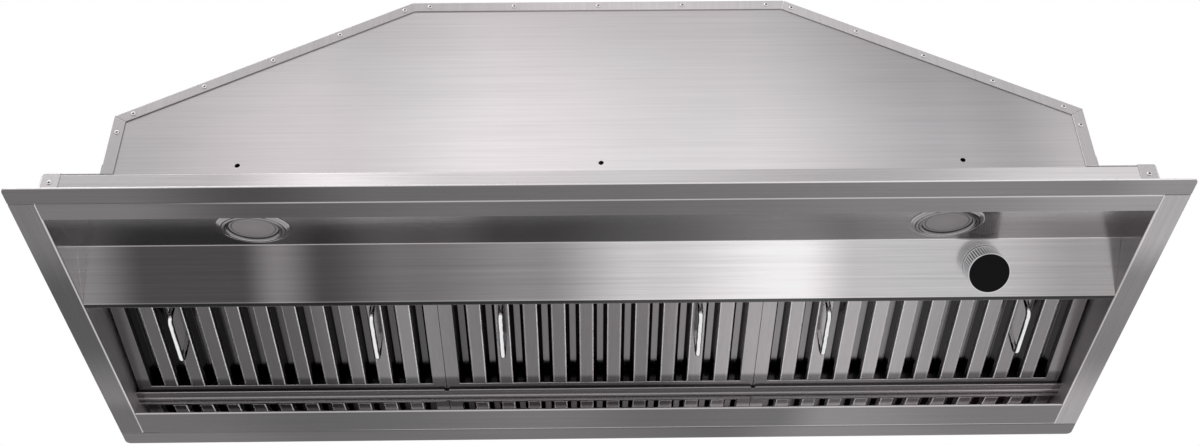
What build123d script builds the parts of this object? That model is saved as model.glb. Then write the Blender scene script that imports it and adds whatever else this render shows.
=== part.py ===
from build123d import *
import os
from math import acos, atan2, cos, degrees, hypot, radians, sin, sqrt, tan

os.makedirs("parts", exist_ok=True)

# Range hood insert: a folded stainless liner that hangs in a cabinet opening, with three baffle
# filters, two lamps, a speed knob, a centrifugal blower and a duct collar with a damper.
#
# Origin: centre of the trim flange, on its lower face.  +X across the width, +Y towards the
# rear wall, +Z up into the cabinet.  Lengths in millimetres, angles in degrees.

# ---------------------------------------------------------------- sheet metal and fits
sheet = 1.2  # stainless sheet of the shell
bend = 2.0  # fold radius on the drawn face of a sheet
seam = 0.4  # open line between two sheets that meet edge to edge
seat = 0.3  # gap under a piece that lifts off its seat
running = 0.05  # radial clearance of a shaft in its hole

# ---------------------------------------------------------------- lower box and trim flange
flange_length = 1180.0
flange_depth = 502.5
side_flange = 27.5  # width of the trim at the left and right
end_flange = 25.25  # width of the trim at the front and rear
flange_corner = 6.0  # rounded outer corners of the trim
front_wall_height = 37.0
ear_width = 18.7  # corner tabs folded round from the side walls
ear_height = 39.7
ear_corner = 3.0
shoulder_height = 80.0  # top of the lower box behind its sloping front
shoulder_run = 52.0  # length of that slope, measured in Y
shoulder_leg = 12.0  # upstand that laps on the housing side
front_lip_depth = 24.5
rear_lip_depth = 45.5
rear_riser_height = 62.0
rear_leg_height = 18.0
ledge_depth = 13.5
ledge_hem = 5.0
ledge_upstand = 16.0
notch_radius = 3.0  # drain notches in the ledge, where two filters meet

# ---------------------------------------------------------------- lamp and control panel
light_front_height = 9.3  # the light panel starts this high above the front lip
ridge_back = 120.3  # from the front wall's inner face to the ridge of the panel
ridge_height = 38.6
control_back = 175.2  # from the front wall's inner face to the control panel's lower edge
control_low = 0.8
control_hem = 7.0

lamp_from_side = 199.0  # lamp centre to the side wall
lamp_from_ridge = 46.5  # lamp centre, measured down the light panel
lamp_hole = 66.0  # diameter
bezel_diameter = 78.0
bezel_proud = 3.0
bezel_edge = 1.0  # the outer ring starts this high and rises inwards
bezel_flat = 6.5  # width of the outer ring
bezel_groove = 1.0  # groove between the two rings
bezel_groove_depth = 1.2
bezel_fall = 0.6  # the inner ring falls this much towards the lens
bezel_skirt = 14.0  # reach into the panel's hole
lens_diameter = 52.0
lens_step = 1.0  # bevel round the lens
lens_sunk = 2.0  # back face of the lens, below the panel's face
lens_thickness = 2.6
lens_ledge = 2.0  # width of the ledge behind the lens
can_height = 34.0
can_shoulder = 6.0
can_wall = 2.2
can_roof = 7.0
fin_count = 6
fin_pitch = 7.0
fin_thickness = 2.0
fin_length = 36.0
fin_height = 8.0

knob_from_side = 147.5  # knob centre to the side wall
knob_from_ridge = 30.5  # measured down the control panel
knob_diameter = 44.7
knob_height = 26.0
knob_gap = 1.0  # open line between the knob and the panel
knob_flutes = 48
knob_band = 2.0  # plain band at both ends of the fluting
flute_depth = 1.1
knob_wall = 4.0
knob_roof = 7.0
knob_boss = 14.0  # diameter
face_diameter = 42.0
face_recess = 1.5
face_thickness = 1.2
spindle_diameter = 6.0
spindle_cover = 8.0  # from the spindle's end to the knob's face
spindle_reach = 14.0  # into the switch
bush_diameter = 10.0
bush_proud = 2.5
nut_diameter = 14.0  # across the corners
nut_thickness = 2.0
switch_side = 24.0
switch_corner = 2.0
switch_depth = 19.0
terminal_pitch = 9.0
terminal_width = 6.0
terminal_thickness = 1.0
terminal_length = 5.0

# ---------------------------------------------------------------- baffle filters
filter_count = 3
filter_side_gap = 4.5  # from the end filters to the side walls
filter_gap = 0.6  # between two filters
filter_over_panel = 28.4  # the filters reach this far forward over the control panel's edge
filter_thickness = 22.0
filter_front_height = 50.2  # lower front edge of the filter above the flange
filter_rear_height = 23.4  # lower rear edge
filter_sheet = 0.8
filter_travel = 14.0  # slides this far forward to clear the rear ledge
slot_count = 11
slot_flat = 16.15  # lower baffle between two slots
rim_side = 15.85  # blind band at the filter's left and right
rim_end = 18.0  # blind band at the filter's front and rear
rim_top = 8.0
flat_wall = 10.0
cap_lap = 4.6  # the upper baffle covers its slot by this much on both sides
cap_wall = 10.0
cap_below = 4.0  # from the upper baffle's roof to the filter's top
cap_flat = 7.5  # level middle of the roof
cap_fall = 4.5  # the roof falls this much from there to the walls
handle_flat = 2  # slots outside the flat that carries a handle
handle_rod = 6.0
handle_length = 75.0
handle_drop = 25.0
handle_bend = 9.0
handle_from_rear = 130.0
rail_overlap = 6.0

# ---------------------------------------------------------------- upper housing
shoulder_width = 57.5  # from the side wall's inner face to the housing's side
housing_bottom = 37.8
housing_eave = 116.0
housing_top = 281.0
slope_run = 299.0  # from the housing's side to the end of its flat top
housing_border = 12.5  # folded edge that frames the front and rear panels
panel_foot = 12.0
fixing_hole = 5.5  # diameter
fixing_from_side = 136.0  # outer fixing holes to the housing's side
fixing_height = 48.5
rear_lap = 30.0  # the rear panel laps this far down behind the rear wall

# ---------------------------------------------------------------- blower
wheel_radius = 65.0
wheel_width = 130.0
wheel_inner = 52.0
blade_count = 34
blade_thickness = 0.8
blade_lead = 6.0  # the blade's tip leads its root by this much in the sense of turning
blade_bow = 1.0  # how far the blade's middle lies off the line from root to tip
blade_inset = 0.6  # from the blades' tips to the wheel's rim
wheel_ring = 1.5
wheel_disc = 2.0
hub_radius = 13.0
hub_length = 12.0
hub_offset = 9.0  # the hub starts this far to the left of the disc's middle
scroll_gap = 17.0  # from the wheel to the spiral where it starts
scroll_growth = 14.0  # radius gained in each quarter turn
wheel_side_gap = 10.0  # from the wheel to the side plates' inner faces
scroll_floor = 83.0  # lowest point of the scroll
tongue_angle = 60.0
outlet_flange = 14.0
inlet_radius = 60.0
inlet_throat = 54.0
motor_radius = 42.0
motor_shell = 40.5  # radius of the end shells
motor_band = 20.0  # from each end of the motor to its stator band
motor_boss = 14.0  # radius of the boss round the shaft
motor_boss_length = 5.0
motor_foot = 22.0  # radius of the face that the spider carries
motor_taper = 7.0
motor_from_middle = 8.0
motor_shaft = 8.0  # diameter
shaft_depth = 30.0  # into the motor
shaft_overhang = 2.0  # beyond the hub
spider_ring = 30.0  # radius
spider_bore = 8.0  # radius
spider_arm = 12.0
spider_lap = 14.0  # the arms reach this far past the inlet
spider_hole = 5.0  # diameter
spider_hole_inset = 5.0  # from the arm's end
spider_sheet = 2.0

# ---------------------------------------------------------------- duct collar and damper
collar_diameter = 203.0
collar_height = 60.0
collar_flange = 14.0
damper_height = 22.0  # damper rod above the housing's top
damper_rod = 5.0
flap_gap = 1.5
flap_sheet = 1.0
knuckle_wall = 1.5
knuckle_length = 24.0
knuckle_pitch = 37.5
knuckle_web = 3.0  # tab between the flap and its knuckle
stop_width = 5.0

# ---------------------------------------------------------------- wiring boxes
supply_box = 100.0
supply_box_height = 60.0
supply_box_depth = 50.0
supply_box_from_side = 205.0  # box centre to the housing's side
supply_box_z = 130.0
supply_box_wall = 1.5
lid_lap = 2.0
lid_corner = 2.0
knockout_diameter = 22.2
driver_length = 130.0
driver_width = 42.0
driver_height = 26.0
driver_corner = 4.0
driver_foot = 12.0
driver_foot_width = 25.0
driver_foot_sheet = 1.5
driver_hole = 4.4  # diameter

# ---------------------------------------------------------------- derived places
wall_x = flange_length / 2 - side_flange  # inner face of the side walls
wall_y = flange_depth / 2 - end_flange  # inner face of the front and rear walls
ear_x = wall_x + sheet - ear_width
riser_y = wall_y - rear_lip_depth
shoulder_low = ear_height - sheet
shoulder_base = shoulder_height - sheet
housing_x = wall_x - shoulder_width
apex_x = housing_x - slope_run
outer_y = wall_y + sheet
ledge_y = riser_y - ledge_depth

ridge_y = ridge_back - wall_y
control_y = control_back - wall_y
panel_foot_y = 2 * sheet - wall_y
light_angle = degrees(atan2(ridge_height - light_front_height, ridge_y - panel_foot_y))
control_angle = degrees(atan2(ridge_height - control_low, control_y - ridge_y))

filter_pitch = 2 * (wall_x - filter_side_gap) / filter_count
filter_width = filter_pitch - filter_gap
filter_rear = riser_y - sheet - 2 * seat
filter_fall = filter_front_height - filter_rear_height
tilt = atan2(filter_fall, filter_rear - control_y + filter_over_panel)
filter_y = filter_rear - filter_thickness * sin(tilt)
filter_length = (filter_y - control_y + filter_over_panel) / cos(tilt)
filter_middle = -filter_length / 2
slot_span = filter_width - 2 * rim_side
slot_width = (slot_span - (slot_count - 1) * slot_flat) / slot_count
slot_pitch = slot_width + slot_flat
cap_width = slot_width + 2 * cap_lap
handle_x = (slot_count / 2 - handle_flat) * slot_pitch

scroll_width = wheel_width + 2 * wheel_side_gap
supply_box_x = supply_box_from_side - housing_x
lamp_x = wall_x - lamp_from_side
knob_x = wall_x - knob_from_side


def on_filter(back, up):
    """Y and Z of a point given along the filter, from its lower rear edge, and square to it."""
    y = filter_y + back * cos(tilt) + up * sin(tilt)
    z = filter_rear_height - back * sin(tilt) + up * cos(tilt)
    return (y, z)


def keep(piece, name):
    """Label a finished piece and write it to its own STEP file."""
    piece.part.label = name
    export_step(piece.part, f"parts/{name}.step")


def folded(points, length, side, radius=bend, thickness=sheet):
    """A sheet folded along YZ points, running across the width and centred on X = 0."""
    with BuildPart() as strip:
        with BuildSketch(Plane.YZ):
            with BuildLine():
                FilletPolyline(*points, radius=radius)
                offset(amount=thickness, side=side)
            make_face()
        extrude(amount=length / 2, both=True)
    return strip


# ================================================================ lower box
shoulder_line = [
    (-wall_y, shoulder_low),
    (-wall_y + shoulder_run, shoulder_base),
    (wall_y, shoulder_base),
]


def end_wall(name, way, height):
    """Front (way -1) or rear (way +1) wall with its outward trim flange."""
    half = flange_depth / 2
    with BuildPart() as wall:
        with BuildSketch(Plane.YZ):
            with BuildLine():
                FilletPolyline((way * half, 0), (way * wall_y, 0), (way * wall_y, height), radius=bend)
                offset(amount=sheet, side=Side.RIGHT if way > 0 else Side.LEFT)
            make_face()
        extrude(amount=flange_length / 2, both=True)
        with Locations((0, way * (wall_y + bend / 2), sheet + height)):
            for end in (-1, 1):
                with Locations((end * (ear_x - seam + flange_length / 4), 0, 0)):
                    Box(flange_length / 2, 2 * bend, 2 * height, mode=Mode.SUBTRACT)
        corners = wall.edges().filter_by(Axis.Z).group_by(SortBy.DISTANCE)[-1]
        fillet(corners, flange_corner)
    keep(wall, name)


end_wall("front_wall", -1, front_wall_height)
end_wall("rear_wall", 1, shoulder_height)


def side_wall(name, way):
    """Left (way -1) or right (way +1) wall: trim flange, wall and the ears at both ends."""
    outer = wall_x + sheet
    with BuildPart() as wall:
        with BuildSketch(Plane.XZ):
            with BuildLine():
                FilletPolyline(
                    (way * flange_length / 2, 0),
                    (way * wall_x, 0),
                    (way * wall_x, shoulder_height),
                    radius=bend,
                )
                offset(amount=sheet, side=Side.RIGHT if way > 0 else Side.LEFT)
            make_face()
        extrude(amount=wall_y - seam, both=True)
        # the wall proper runs on to the inner faces of the end walls
        with BuildSketch(Plane.YZ.offset(way * wall_x)):
            with Locations((0, sheet + shoulder_height / 2)):
                Rectangle(2 * wall_y, shoulder_height)
        extrude(amount=way * sheet)
        with BuildSketch(Plane.YZ):
            with BuildLine():
                Polyline(
                    *shoulder_line,
                    (wall_y + sheet, shoulder_base),
                    (wall_y + sheet, 2 * shoulder_height),
                    (-wall_y - sheet, 2 * shoulder_height),
                    (-wall_y - sheet, shoulder_low),
                    close=True,
                )
            make_face()
        extrude(amount=flange_length, both=True, mode=Mode.SUBTRACT)
        for end, height in ((-1, ear_height), (1, shoulder_height)):
            with BuildSketch(Plane.XZ.offset(-end * wall_y)) as ear:
                with Locations((way * (ear_x + outer) / 2, (sheet + height) / 2)):
                    Rectangle(outer - ear_x, height - sheet)
                outside = ear.vertices().group_by(Axis.X)[-1 if way > 0 else 0]
                fillet(outside.group_by(Axis.Y)[-1], ear_corner)
            extrude(amount=-end * sheet)
    keep(wall, name)


side_wall("side_wall_left", -1)
side_wall("side_wall_right", 1)


def shoulder(name, way):
    """Plate that closes the lower box beside the housing, with an upstand on the housing side."""
    rise = [(y, z + sheet) for y, z in shoulder_line]
    leg = [(y, z + sheet + shoulder_leg) for y, z in shoulder_line]
    with BuildPart() as plate:
        with BuildSketch(Plane.YZ.offset(way * housing_x)):
            with BuildLine():
                Polyline(*shoulder_line, *reversed(rise), close=True)
            make_face()
        extrude(amount=way * (wall_x + sheet - housing_x))
        with BuildSketch(Plane.YZ.offset(way * housing_x)):
            with BuildLine():
                Polyline(*rise, *reversed(leg), close=True)
            make_face()
        extrude(amount=way * sheet)
    keep(plate, name)


shoulder("shoulder_left", -1)
shoulder("shoulder_right", 1)

front_lip = folded(
    [
        (-wall_y + front_lip_depth, 0),
        (-wall_y, 0),
        (-wall_y, housing_bottom),
        (-wall_y + panel_foot, housing_bottom),
    ],
    2 * wall_x,
    Side.RIGHT,
)
keep(front_lip, "front_lip")

rear_lip = folded(
    [
        (wall_y, rear_leg_height),
        (wall_y, 0),
        (riser_y, 0),
        (riser_y, rear_riser_height),
    ],
    2 * wall_x,
    Side.RIGHT,
)
keep(rear_lip, "rear_lip")


# the ledge lies parallel to the filters, has a hem under its front edge and stops them at the rear
def under_filter(y, drop):
    """Point at a given Y on a line parallel to the filter's underside and drop below it."""
    return (y, filter_rear_height - (y - filter_y) * tan(tilt) - drop / cos(tilt))


with BuildPart() as rear_ledge:
    with BuildSketch(Plane.YZ):
        upstand_z = filter_rear_height + ledge_upstand
        with BuildLine():
            Polyline(
                under_filter(ledge_y, seat),
                under_filter(riser_y - sheet, seat),
                (riser_y - sheet, upstand_z),
                (riser_y, upstand_z),
                under_filter(riser_y, seat + sheet),
                under_filter(ledge_y + ledge_hem, seat + sheet),
                under_filter(ledge_y + ledge_hem, seat + 2 * sheet),
                under_filter(ledge_y, seat + 2 * sheet),
                close=True,
            )
        make_face()
    extrude(amount=wall_x, both=True)
    with Locations((0, ledge_y, filter_rear_height)):
        with GridLocations(filter_pitch, 0, 2, 1):
            Cylinder(notch_radius, 6 * sheet, mode=Mode.SUBTRACT)
keep(rear_ledge, "rear_ledge")

# ================================================================ lamp and control panel
light_plane = Plane(
    origin=(0, ridge_y, ridge_height),
    x_dir=(1, 0, 0),
    z_dir=(0, sin(radians(light_angle)), -cos(radians(light_angle))),
)  # local +Y runs down the light panel towards the front lip, +Z out of it
control_plane = Plane(
    origin=(0, ridge_y, ridge_height),
    x_dir=(-1, 0, 0),
    z_dir=(0, -sin(radians(control_angle)), -cos(radians(control_angle))),
)  # local +Y runs down the control panel towards its lower edge, +Z out of it

with BuildPart() as lamp_control_panel:
    with BuildSketch(Plane.YZ):
        with BuildLine():
            FilletPolyline(
                (panel_foot_y, bend),
                (panel_foot_y, light_front_height),
                (ridge_y, ridge_height),
                (control_y, control_low),
                (control_y + control_hem, control_low),
                radius=bend,
            )
            offset(amount=sheet, side=Side.LEFT)
        make_face()
    extrude(amount=wall_x, both=True)
    with BuildSketch(light_plane):
        with Locations((-lamp_x, lamp_from_ridge), (lamp_x, lamp_from_ridge)):
            Circle(lamp_hole / 2)
    extrude(amount=-3 * sheet, mode=Mode.SUBTRACT)
    with BuildSketch(control_plane):
        with Locations((-knob_x, knob_from_ridge)):
            Circle(bush_diameter / 2)
    extrude(amount=-3 * sheet, mode=Mode.SUBTRACT)
keep(lamp_control_panel, "lamp_control_panel")

# the filters' front rail stands on the control panel's hem and closes the switch space
rail_wall_y = control_y + control_hem - bend
rail_back = (rail_wall_y - filter_y + seat * sin(tilt)) / cos(tilt)
rail_front = -filter_length - filter_travel - bend
rail_top = filter_thickness + seat
filter_front_rail = folded(
    [
        (rail_wall_y, control_low + sheet),
        on_filter(rail_back, -seat),
        on_filter(rail_front, -seat),
        on_filter(rail_front, rail_top),
        on_filter(-filter_length + rail_overlap, rail_top),
    ],
    2 * wall_x,
    Side.LEFT,
)
keep(filter_front_rail, "filter_front_rail")


def lamp(name, x):
    """Bezel, lens and can of one recessed lamp, set square to the light panel."""
    seat_plane = Plane(
        origin=light_plane.from_local_coords(Vector(x, lamp_from_ridge, 0)),
        x_dir=light_plane.x_dir,
        z_dir=light_plane.z_dir,
    )
    section = Plane(origin=seat_plane.origin, x_dir=seat_plane.x_dir, z_dir=-seat_plane.y_dir)
    axis = Axis(seat_plane.origin, seat_plane.z_dir)
    throat = lamp_hole / 2 - seat
    outer = bezel_diameter / 2
    ring = outer - bezel_flat
    inner_ring = ring - bezel_groove
    lens = lens_diameter / 2
    ledge = -lens_sunk - sheet
    with BuildPart() as bezel:
        with BuildSketch(section):
            with BuildLine():
                Polyline(
                    (throat, 0),
                    (outer, 0),
                    (outer, bezel_edge),
                    (ring, bezel_proud),
                    (ring, bezel_proud - bezel_groove_depth),
                    (inner_ring, bezel_proud - bezel_groove_depth),
                    (inner_ring, bezel_proud),
                    (lens + lens_step, bezel_proud - bezel_fall),
                    (lens, lens_thickness - lens_sunk),
                    (lens, -lens_sunk),
                    (lens - lens_ledge, -lens_sunk),
                    (lens - lens_ledge, ledge),
                    (throat - sheet, ledge),
                    (throat - sheet, -bezel_skirt),
                    (throat, -bezel_skirt),
                    close=True,
                )
            make_face()
        revolve(axis=axis)
    keep(bezel, f"{name}_bezel")
    with BuildPart() as glass:
        with BuildSketch(seat_plane.offset(-lens_sunk)):
            Circle(lens - seat)
        extrude(amount=lens_thickness)
    keep(glass, f"{name}_lens")
    can = throat - sheet - running
    with BuildPart() as body:
        with BuildSketch(section):
            with BuildLine():
                Polyline(
                    (0, -can_height),
                    (can - can_shoulder, -can_height),
                    (can, -can_height + can_shoulder),
                    (can, ledge),
                    (can - can_wall, ledge),
                    (can - can_wall, -can_height + can_roof),
                    (0, -can_height + can_roof),
                    close=True,
                )
            make_face()
        revolve(axis=axis)
        with BuildSketch(seat_plane.offset(-can_height)):
            with GridLocations(fin_pitch, 0, fin_count, 1):
                Rectangle(fin_thickness, fin_length)
        extrude(amount=-fin_height)
    keep(body, f"{name}_can")


lamp("lamp_left", -lamp_x)
lamp("lamp_right", lamp_x)

# ================================================================ speed knob and switch
knob_seat = Plane(
    origin=control_plane.from_local_coords(Vector(-knob_x, knob_from_ridge, 0)),
    x_dir=control_plane.x_dir,
    z_dir=control_plane.z_dir,
)
knob_radius = knob_diameter / 2
knob_ceiling = knob_height - knob_roof
boss_start = bush_proud + knob_gap
spindle_end = knob_height - spindle_cover

with BuildPart() as knob_grip:
    with BuildSketch(knob_seat.offset(knob_gap)):
        Circle(knob_radius)
    extrude(amount=knob_height - knob_gap)
    with BuildSketch(knob_seat.offset(knob_gap + knob_band)):
        with PolarLocations(knob_radius, knob_flutes):
            Rectangle(sqrt(2) * flute_depth, sqrt(2) * flute_depth, rotation=45)
    extrude(amount=knob_height - knob_gap - 2 * knob_band, mode=Mode.SUBTRACT)
    with BuildSketch(knob_seat.offset(knob_height)):
        Circle(face_diameter / 2 + running)
    extrude(amount=-face_recess, mode=Mode.SUBTRACT)
    with BuildSketch(knob_seat.offset(knob_gap)):
        Circle(knob_radius - knob_wall)
    extrude(amount=knob_ceiling - knob_gap, mode=Mode.SUBTRACT)
    with BuildSketch(knob_seat.offset(boss_start)):
        Circle(knob_boss / 2)
    extrude(amount=knob_ceiling - boss_start)
    with BuildSketch(knob_seat.offset(boss_start)):
        Circle(spindle_diameter / 2)
    extrude(amount=spindle_end - boss_start, mode=Mode.SUBTRACT)
keep(knob_grip, "knob_grip")

with BuildPart() as knob_cap:
    with BuildSketch(knob_seat.offset(knob_height - face_recess)):
        Circle(face_diameter / 2)
    extrude(amount=face_thickness)
keep(knob_cap, "knob_cap")

with BuildPart() as knob_spindle:
    with BuildSketch(knob_seat.offset(-spindle_reach)):
        Circle(spindle_diameter / 2)
    extrude(amount=spindle_end + spindle_reach)
keep(knob_spindle, "knob_spindle")

with BuildPart() as speed_switch:
    with BuildSketch(knob_seat.offset(-sheet)):
        RectangleRounded(switch_side, switch_side, switch_corner)
    extrude(amount=-switch_depth)
    with BuildSketch(knob_seat.offset(-sheet)):
        Circle(bush_diameter / 2 - running)
    extrude(amount=sheet + bush_proud)
    with BuildSketch(knob_seat.offset(bush_proud)):
        Circle(spindle_diameter / 2 + running)
    extrude(amount=-bush_proud - spindle_reach - running, mode=Mode.SUBTRACT)
    with BuildSketch(knob_seat.offset(-sheet - switch_depth)):
        with GridLocations(terminal_pitch, terminal_pitch, 2, 2):
            Rectangle(terminal_thickness, terminal_width)
    extrude(amount=-terminal_length)
keep(speed_switch, "speed_switch")

with BuildPart() as switch_nut:
    with BuildSketch(knob_seat):
        RegularPolygon(nut_diameter / 2, 6)
        Circle(bush_diameter / 2, mode=Mode.SUBTRACT)
    extrude(amount=nut_thickness)
keep(switch_nut, "switch_nut")


# ================================================================ baffle filters
def filter_frame(name, base):
    """Rim of a baffle filter: a channel on all four sides, with upstands beside the end slots."""
    with BuildPart() as rim:
        with BuildSketch(base):
            with Locations((0, filter_middle)):
                Rectangle(filter_width, filter_length)
        extrude(amount=filter_thickness)
        with BuildSketch(base.offset(filter_sheet)):
            with Locations((0, filter_middle)):
                Rectangle(filter_width - 2 * filter_sheet, filter_length - 2 * filter_sheet)
        extrude(amount=filter_thickness - 2 * filter_sheet, mode=Mode.SUBTRACT)
        with BuildSketch(base):
            with Locations((0, filter_middle)):
                Rectangle(slot_span, filter_length - 2 * rim_end)
        extrude(amount=filter_sheet, mode=Mode.SUBTRACT)
        with BuildSketch(base.offset(filter_thickness - filter_sheet)):
            with Locations((0, filter_middle)):
                Rectangle(filter_width - 2 * rim_top, filter_length - 2 * rim_top)
        extrude(amount=filter_sheet, mode=Mode.SUBTRACT)
        with BuildSketch(base.offset(filter_sheet)):
            with Locations((0, filter_middle)):
                with GridLocations(slot_span + filter_sheet, 0, 2, 1):
                    Rectangle(filter_sheet, filter_length - 2 * rim_end)
        extrude(amount=flat_wall - filter_sheet)
    keep(rim, name)


def lower_baffles(name, base):
    """The flats between the slots: channels open at the top, lying on the rim's end bands."""
    length = filter_length - 2 * rim_end
    with BuildPart() as flats:
        with BuildSketch(base):
            with Locations((0, filter_middle)):
                with GridLocations(slot_pitch, 0, slot_count - 1, 1):
                    Rectangle(slot_flat, length)
        extrude(amount=filter_sheet)
        with BuildSketch(base.offset(filter_sheet)):
            with Locations((0, filter_middle)):
                with GridLocations(slot_pitch, 0, slot_count - 1, 1):
                    with GridLocations(slot_flat - filter_sheet, 0, 2, 1):
                        Rectangle(filter_sheet, length + rim_end)
        extrude(amount=flat_wall - filter_sheet)
    keep(flats, name)


def upper_baffles(name, base):
    """The caps over the slots: channels with a three-sided roof, spanning the rim end to end."""
    half = cap_width / 2
    roof = filter_thickness - cap_below
    with BuildSketch() as section:
        with BuildLine():
            Polyline(
                (-half, roof - cap_wall),
                (-half, roof - cap_fall),
                (-cap_flat / 2, roof),
                (cap_flat / 2, roof),
                (half, roof - cap_fall),
                (half, roof - cap_wall),
            )
            offset(amount=filter_sheet, side=Side.RIGHT)
        make_face()
    rear = Plane(
        origin=base.from_local_coords(Vector(0, -filter_sheet, 0)), x_dir=base.x_dir, z_dir=-base.y_dir
    )
    with BuildPart() as caps:
        with BuildSketch(rear):
            with GridLocations(slot_pitch, 0, slot_count, 1):
                add(section.sketch)
        extrude(amount=filter_length - 2 * filter_sheet)
    keep(caps, name)


def handle(name, base, x):
    """Bent-rod handle under one flat of the lower baffles."""
    reach = handle_length / 2
    drop = handle_drop - handle_rod / 2
    side = Plane(
        origin=base.from_local_coords(Vector(x, -handle_from_rear, 0)), x_dir=base.y_dir, z_dir=base.x_dir
    )
    with BuildPart() as rod:
        with BuildLine(side):
            corners = [(-reach, 0), (-reach, -drop), (reach, -drop), (reach, 0)]
            path = FilletPolyline(*corners, radius=handle_bend)
        with BuildSketch(Plane(origin=path @ 0, z_dir=path % 0)):
            Circle(handle_rod / 2)
        sweep(path=path)
    keep(rod, name)


for filter_name, filter_x in (("left", -filter_pitch), ("centre", 0), ("right", filter_pitch)):
    base = Plane(
        origin=(filter_x, filter_y, filter_rear_height), x_dir=(1, 0, 0), z_dir=(0, sin(tilt), cos(tilt))
    )
    filter_frame(f"filter_{filter_name}_frame", base)
    lower_baffles(f"filter_{filter_name}_lower_baffles", base)
    upper_baffles(f"filter_{filter_name}_upper_baffles", base)
    handle(f"filter_{filter_name}_handle_left", base, -handle_x)
    handle(f"filter_{filter_name}_handle_right", base, handle_x)

# ================================================================ upper housing
def inset(amount):
    """The housing's outline moved inwards, with its corners mitred."""
    slope = atan2(housing_top - housing_eave, slope_run)
    side = housing_x - amount
    eave = housing_eave - amount * (1 - sin(slope)) / cos(slope)
    apex = apex_x - amount * (1 - cos(slope)) / sin(slope)
    top = housing_top - amount
    right = [(side, housing_bottom), (side, eave), (apex, top)]
    return right + [(-x, z) for x, z in reversed(right)]


def band(index, depth, width_seam):
    """Four corners of the outline's band along one side, drawn back from both mitres."""
    outline = inset(0)
    inner = inset(depth)
    start = Vector(*outline[index])
    end = Vector(*outline[index + 1])
    back = (end - start).normalized() * width_seam / 2
    corners = [start + back, end - back, Vector(*inner[index + 1]) - back, Vector(*inner[index]) + back]
    return [(corner.X, corner.Y) for corner in corners]


def wrap_sheet(name, index, openings=()):
    """One sheet of the wrap: a web through the full depth, folded over both panels."""
    with BuildPart() as wrap:
        with BuildSketch(Plane.XZ):
            with BuildLine():
                Polyline(*band(index, sheet, seam), close=True)
            make_face()
        extrude(amount=outer_y, both=True)
        for end in (-1, 1):
            with BuildSketch(Plane.XZ.offset(-end * wall_y)):
                with BuildLine():
                    Polyline(*band(index, housing_border, seam), close=True)
                make_face()
            extrude(amount=-end * sheet)
        # nothing of the wrap reaches below the shoulder, except its fold at the front
        with BuildSketch(Plane.YZ):
            with BuildLine():
                Polyline(
                    *shoulder_line,
                    (wall_y, shoulder_height),
                    (outer_y, shoulder_height),
                    (outer_y, 0),
                    (-wall_y, 0),
                    close=True,
                )
            make_face()
        extrude(amount=2 * housing_x, both=True, mode=Mode.SUBTRACT)
        for x, y, length, width in openings:
            with Locations((x, y, housing_top)):
                Box(length, width, 4 * sheet, mode=Mode.SUBTRACT)
    keep(wrap, name)


# spiral of the blower, in Y and Z about the wheel's axis
first_radius = wheel_radius + scroll_gap
last_radius = first_radius + 2 * scroll_growth
half_growth = scroll_growth / 2
tongue_y = first_radius * cos(radians(tongue_angle)) - half_growth
outlet_outer = half_growth + last_radius
outlet_middle = (tongue_y + outlet_outer) / 2
outlet_width = outlet_outer - tongue_y
axis_y = -outlet_middle
axis_z = scroll_floor + sheet + half_growth + first_radius + scroll_growth
outlet_top = housing_top - sheet - axis_z

wrap_sheet("hood_side_right", 0)
wrap_sheet("hood_slope_right", 1)
wrap_sheet("hood_top", 2, openings=[(0, 0, scroll_width, outlet_width)])
wrap_sheet("hood_slope_left", 3)
wrap_sheet("hood_side_left", 4)

with BuildPart() as front_panel:
    with BuildSketch(Plane.XZ.offset(wall_y)):
        with BuildLine():
            Polyline(*inset(sheet), close=True)
        make_face()
        with Locations((0, fixing_height)):
            with GridLocations(housing_x - fixing_from_side, 0, 3, 1):
                Circle(fixing_hole / 2, mode=Mode.SUBTRACT)
    extrude(amount=-sheet)
    with BuildSketch(Plane.XY.offset(housing_bottom)):
        with Locations((0, -wall_y + panel_foot / 2)):
            Rectangle(2 * (housing_x - sheet), panel_foot)
    extrude(amount=sheet)
keep(front_panel, "hood_front_panel")

with BuildPart() as rear_panel:
    with BuildSketch(Plane.XZ.offset(-wall_y)):
        with BuildLine():
            Polyline(*inset(sheet), close=True)
        make_face()
        with Locations((0, (housing_bottom + shoulder_height - rear_lap) / 2)):
            Rectangle(2 * housing_x, shoulder_height - rear_lap - housing_bottom, mode=Mode.SUBTRACT)
        with Locations((supply_box_x, supply_box_z)):
            Circle(knockout_diameter / 2, mode=Mode.SUBTRACT)
    extrude(amount=sheet)
keep(rear_panel, "hood_rear_panel")

# ================================================================ blower
axis_point = (0, axis_y, axis_z)


def spiral_line(reach):
    """Line of the scroll, moved outwards by reach: tongue, three quarter arcs and outlet sides."""
    start = degrees(acos((tongue_y - reach + half_growth) / (first_radius + reach)))
    first = CenterArc((-half_growth, -half_growth), first_radius + reach, start, 180 - start)
    CenterArc((half_growth, -half_growth), first_radius + scroll_growth + reach, 180, 90)
    third = CenterArc((half_growth, half_growth), last_radius + reach, 270, 90)
    Line((tongue_y - reach, outlet_top), first @ 0)
    Line(third @ 1, (outlet_outer + reach, outlet_top))


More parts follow.
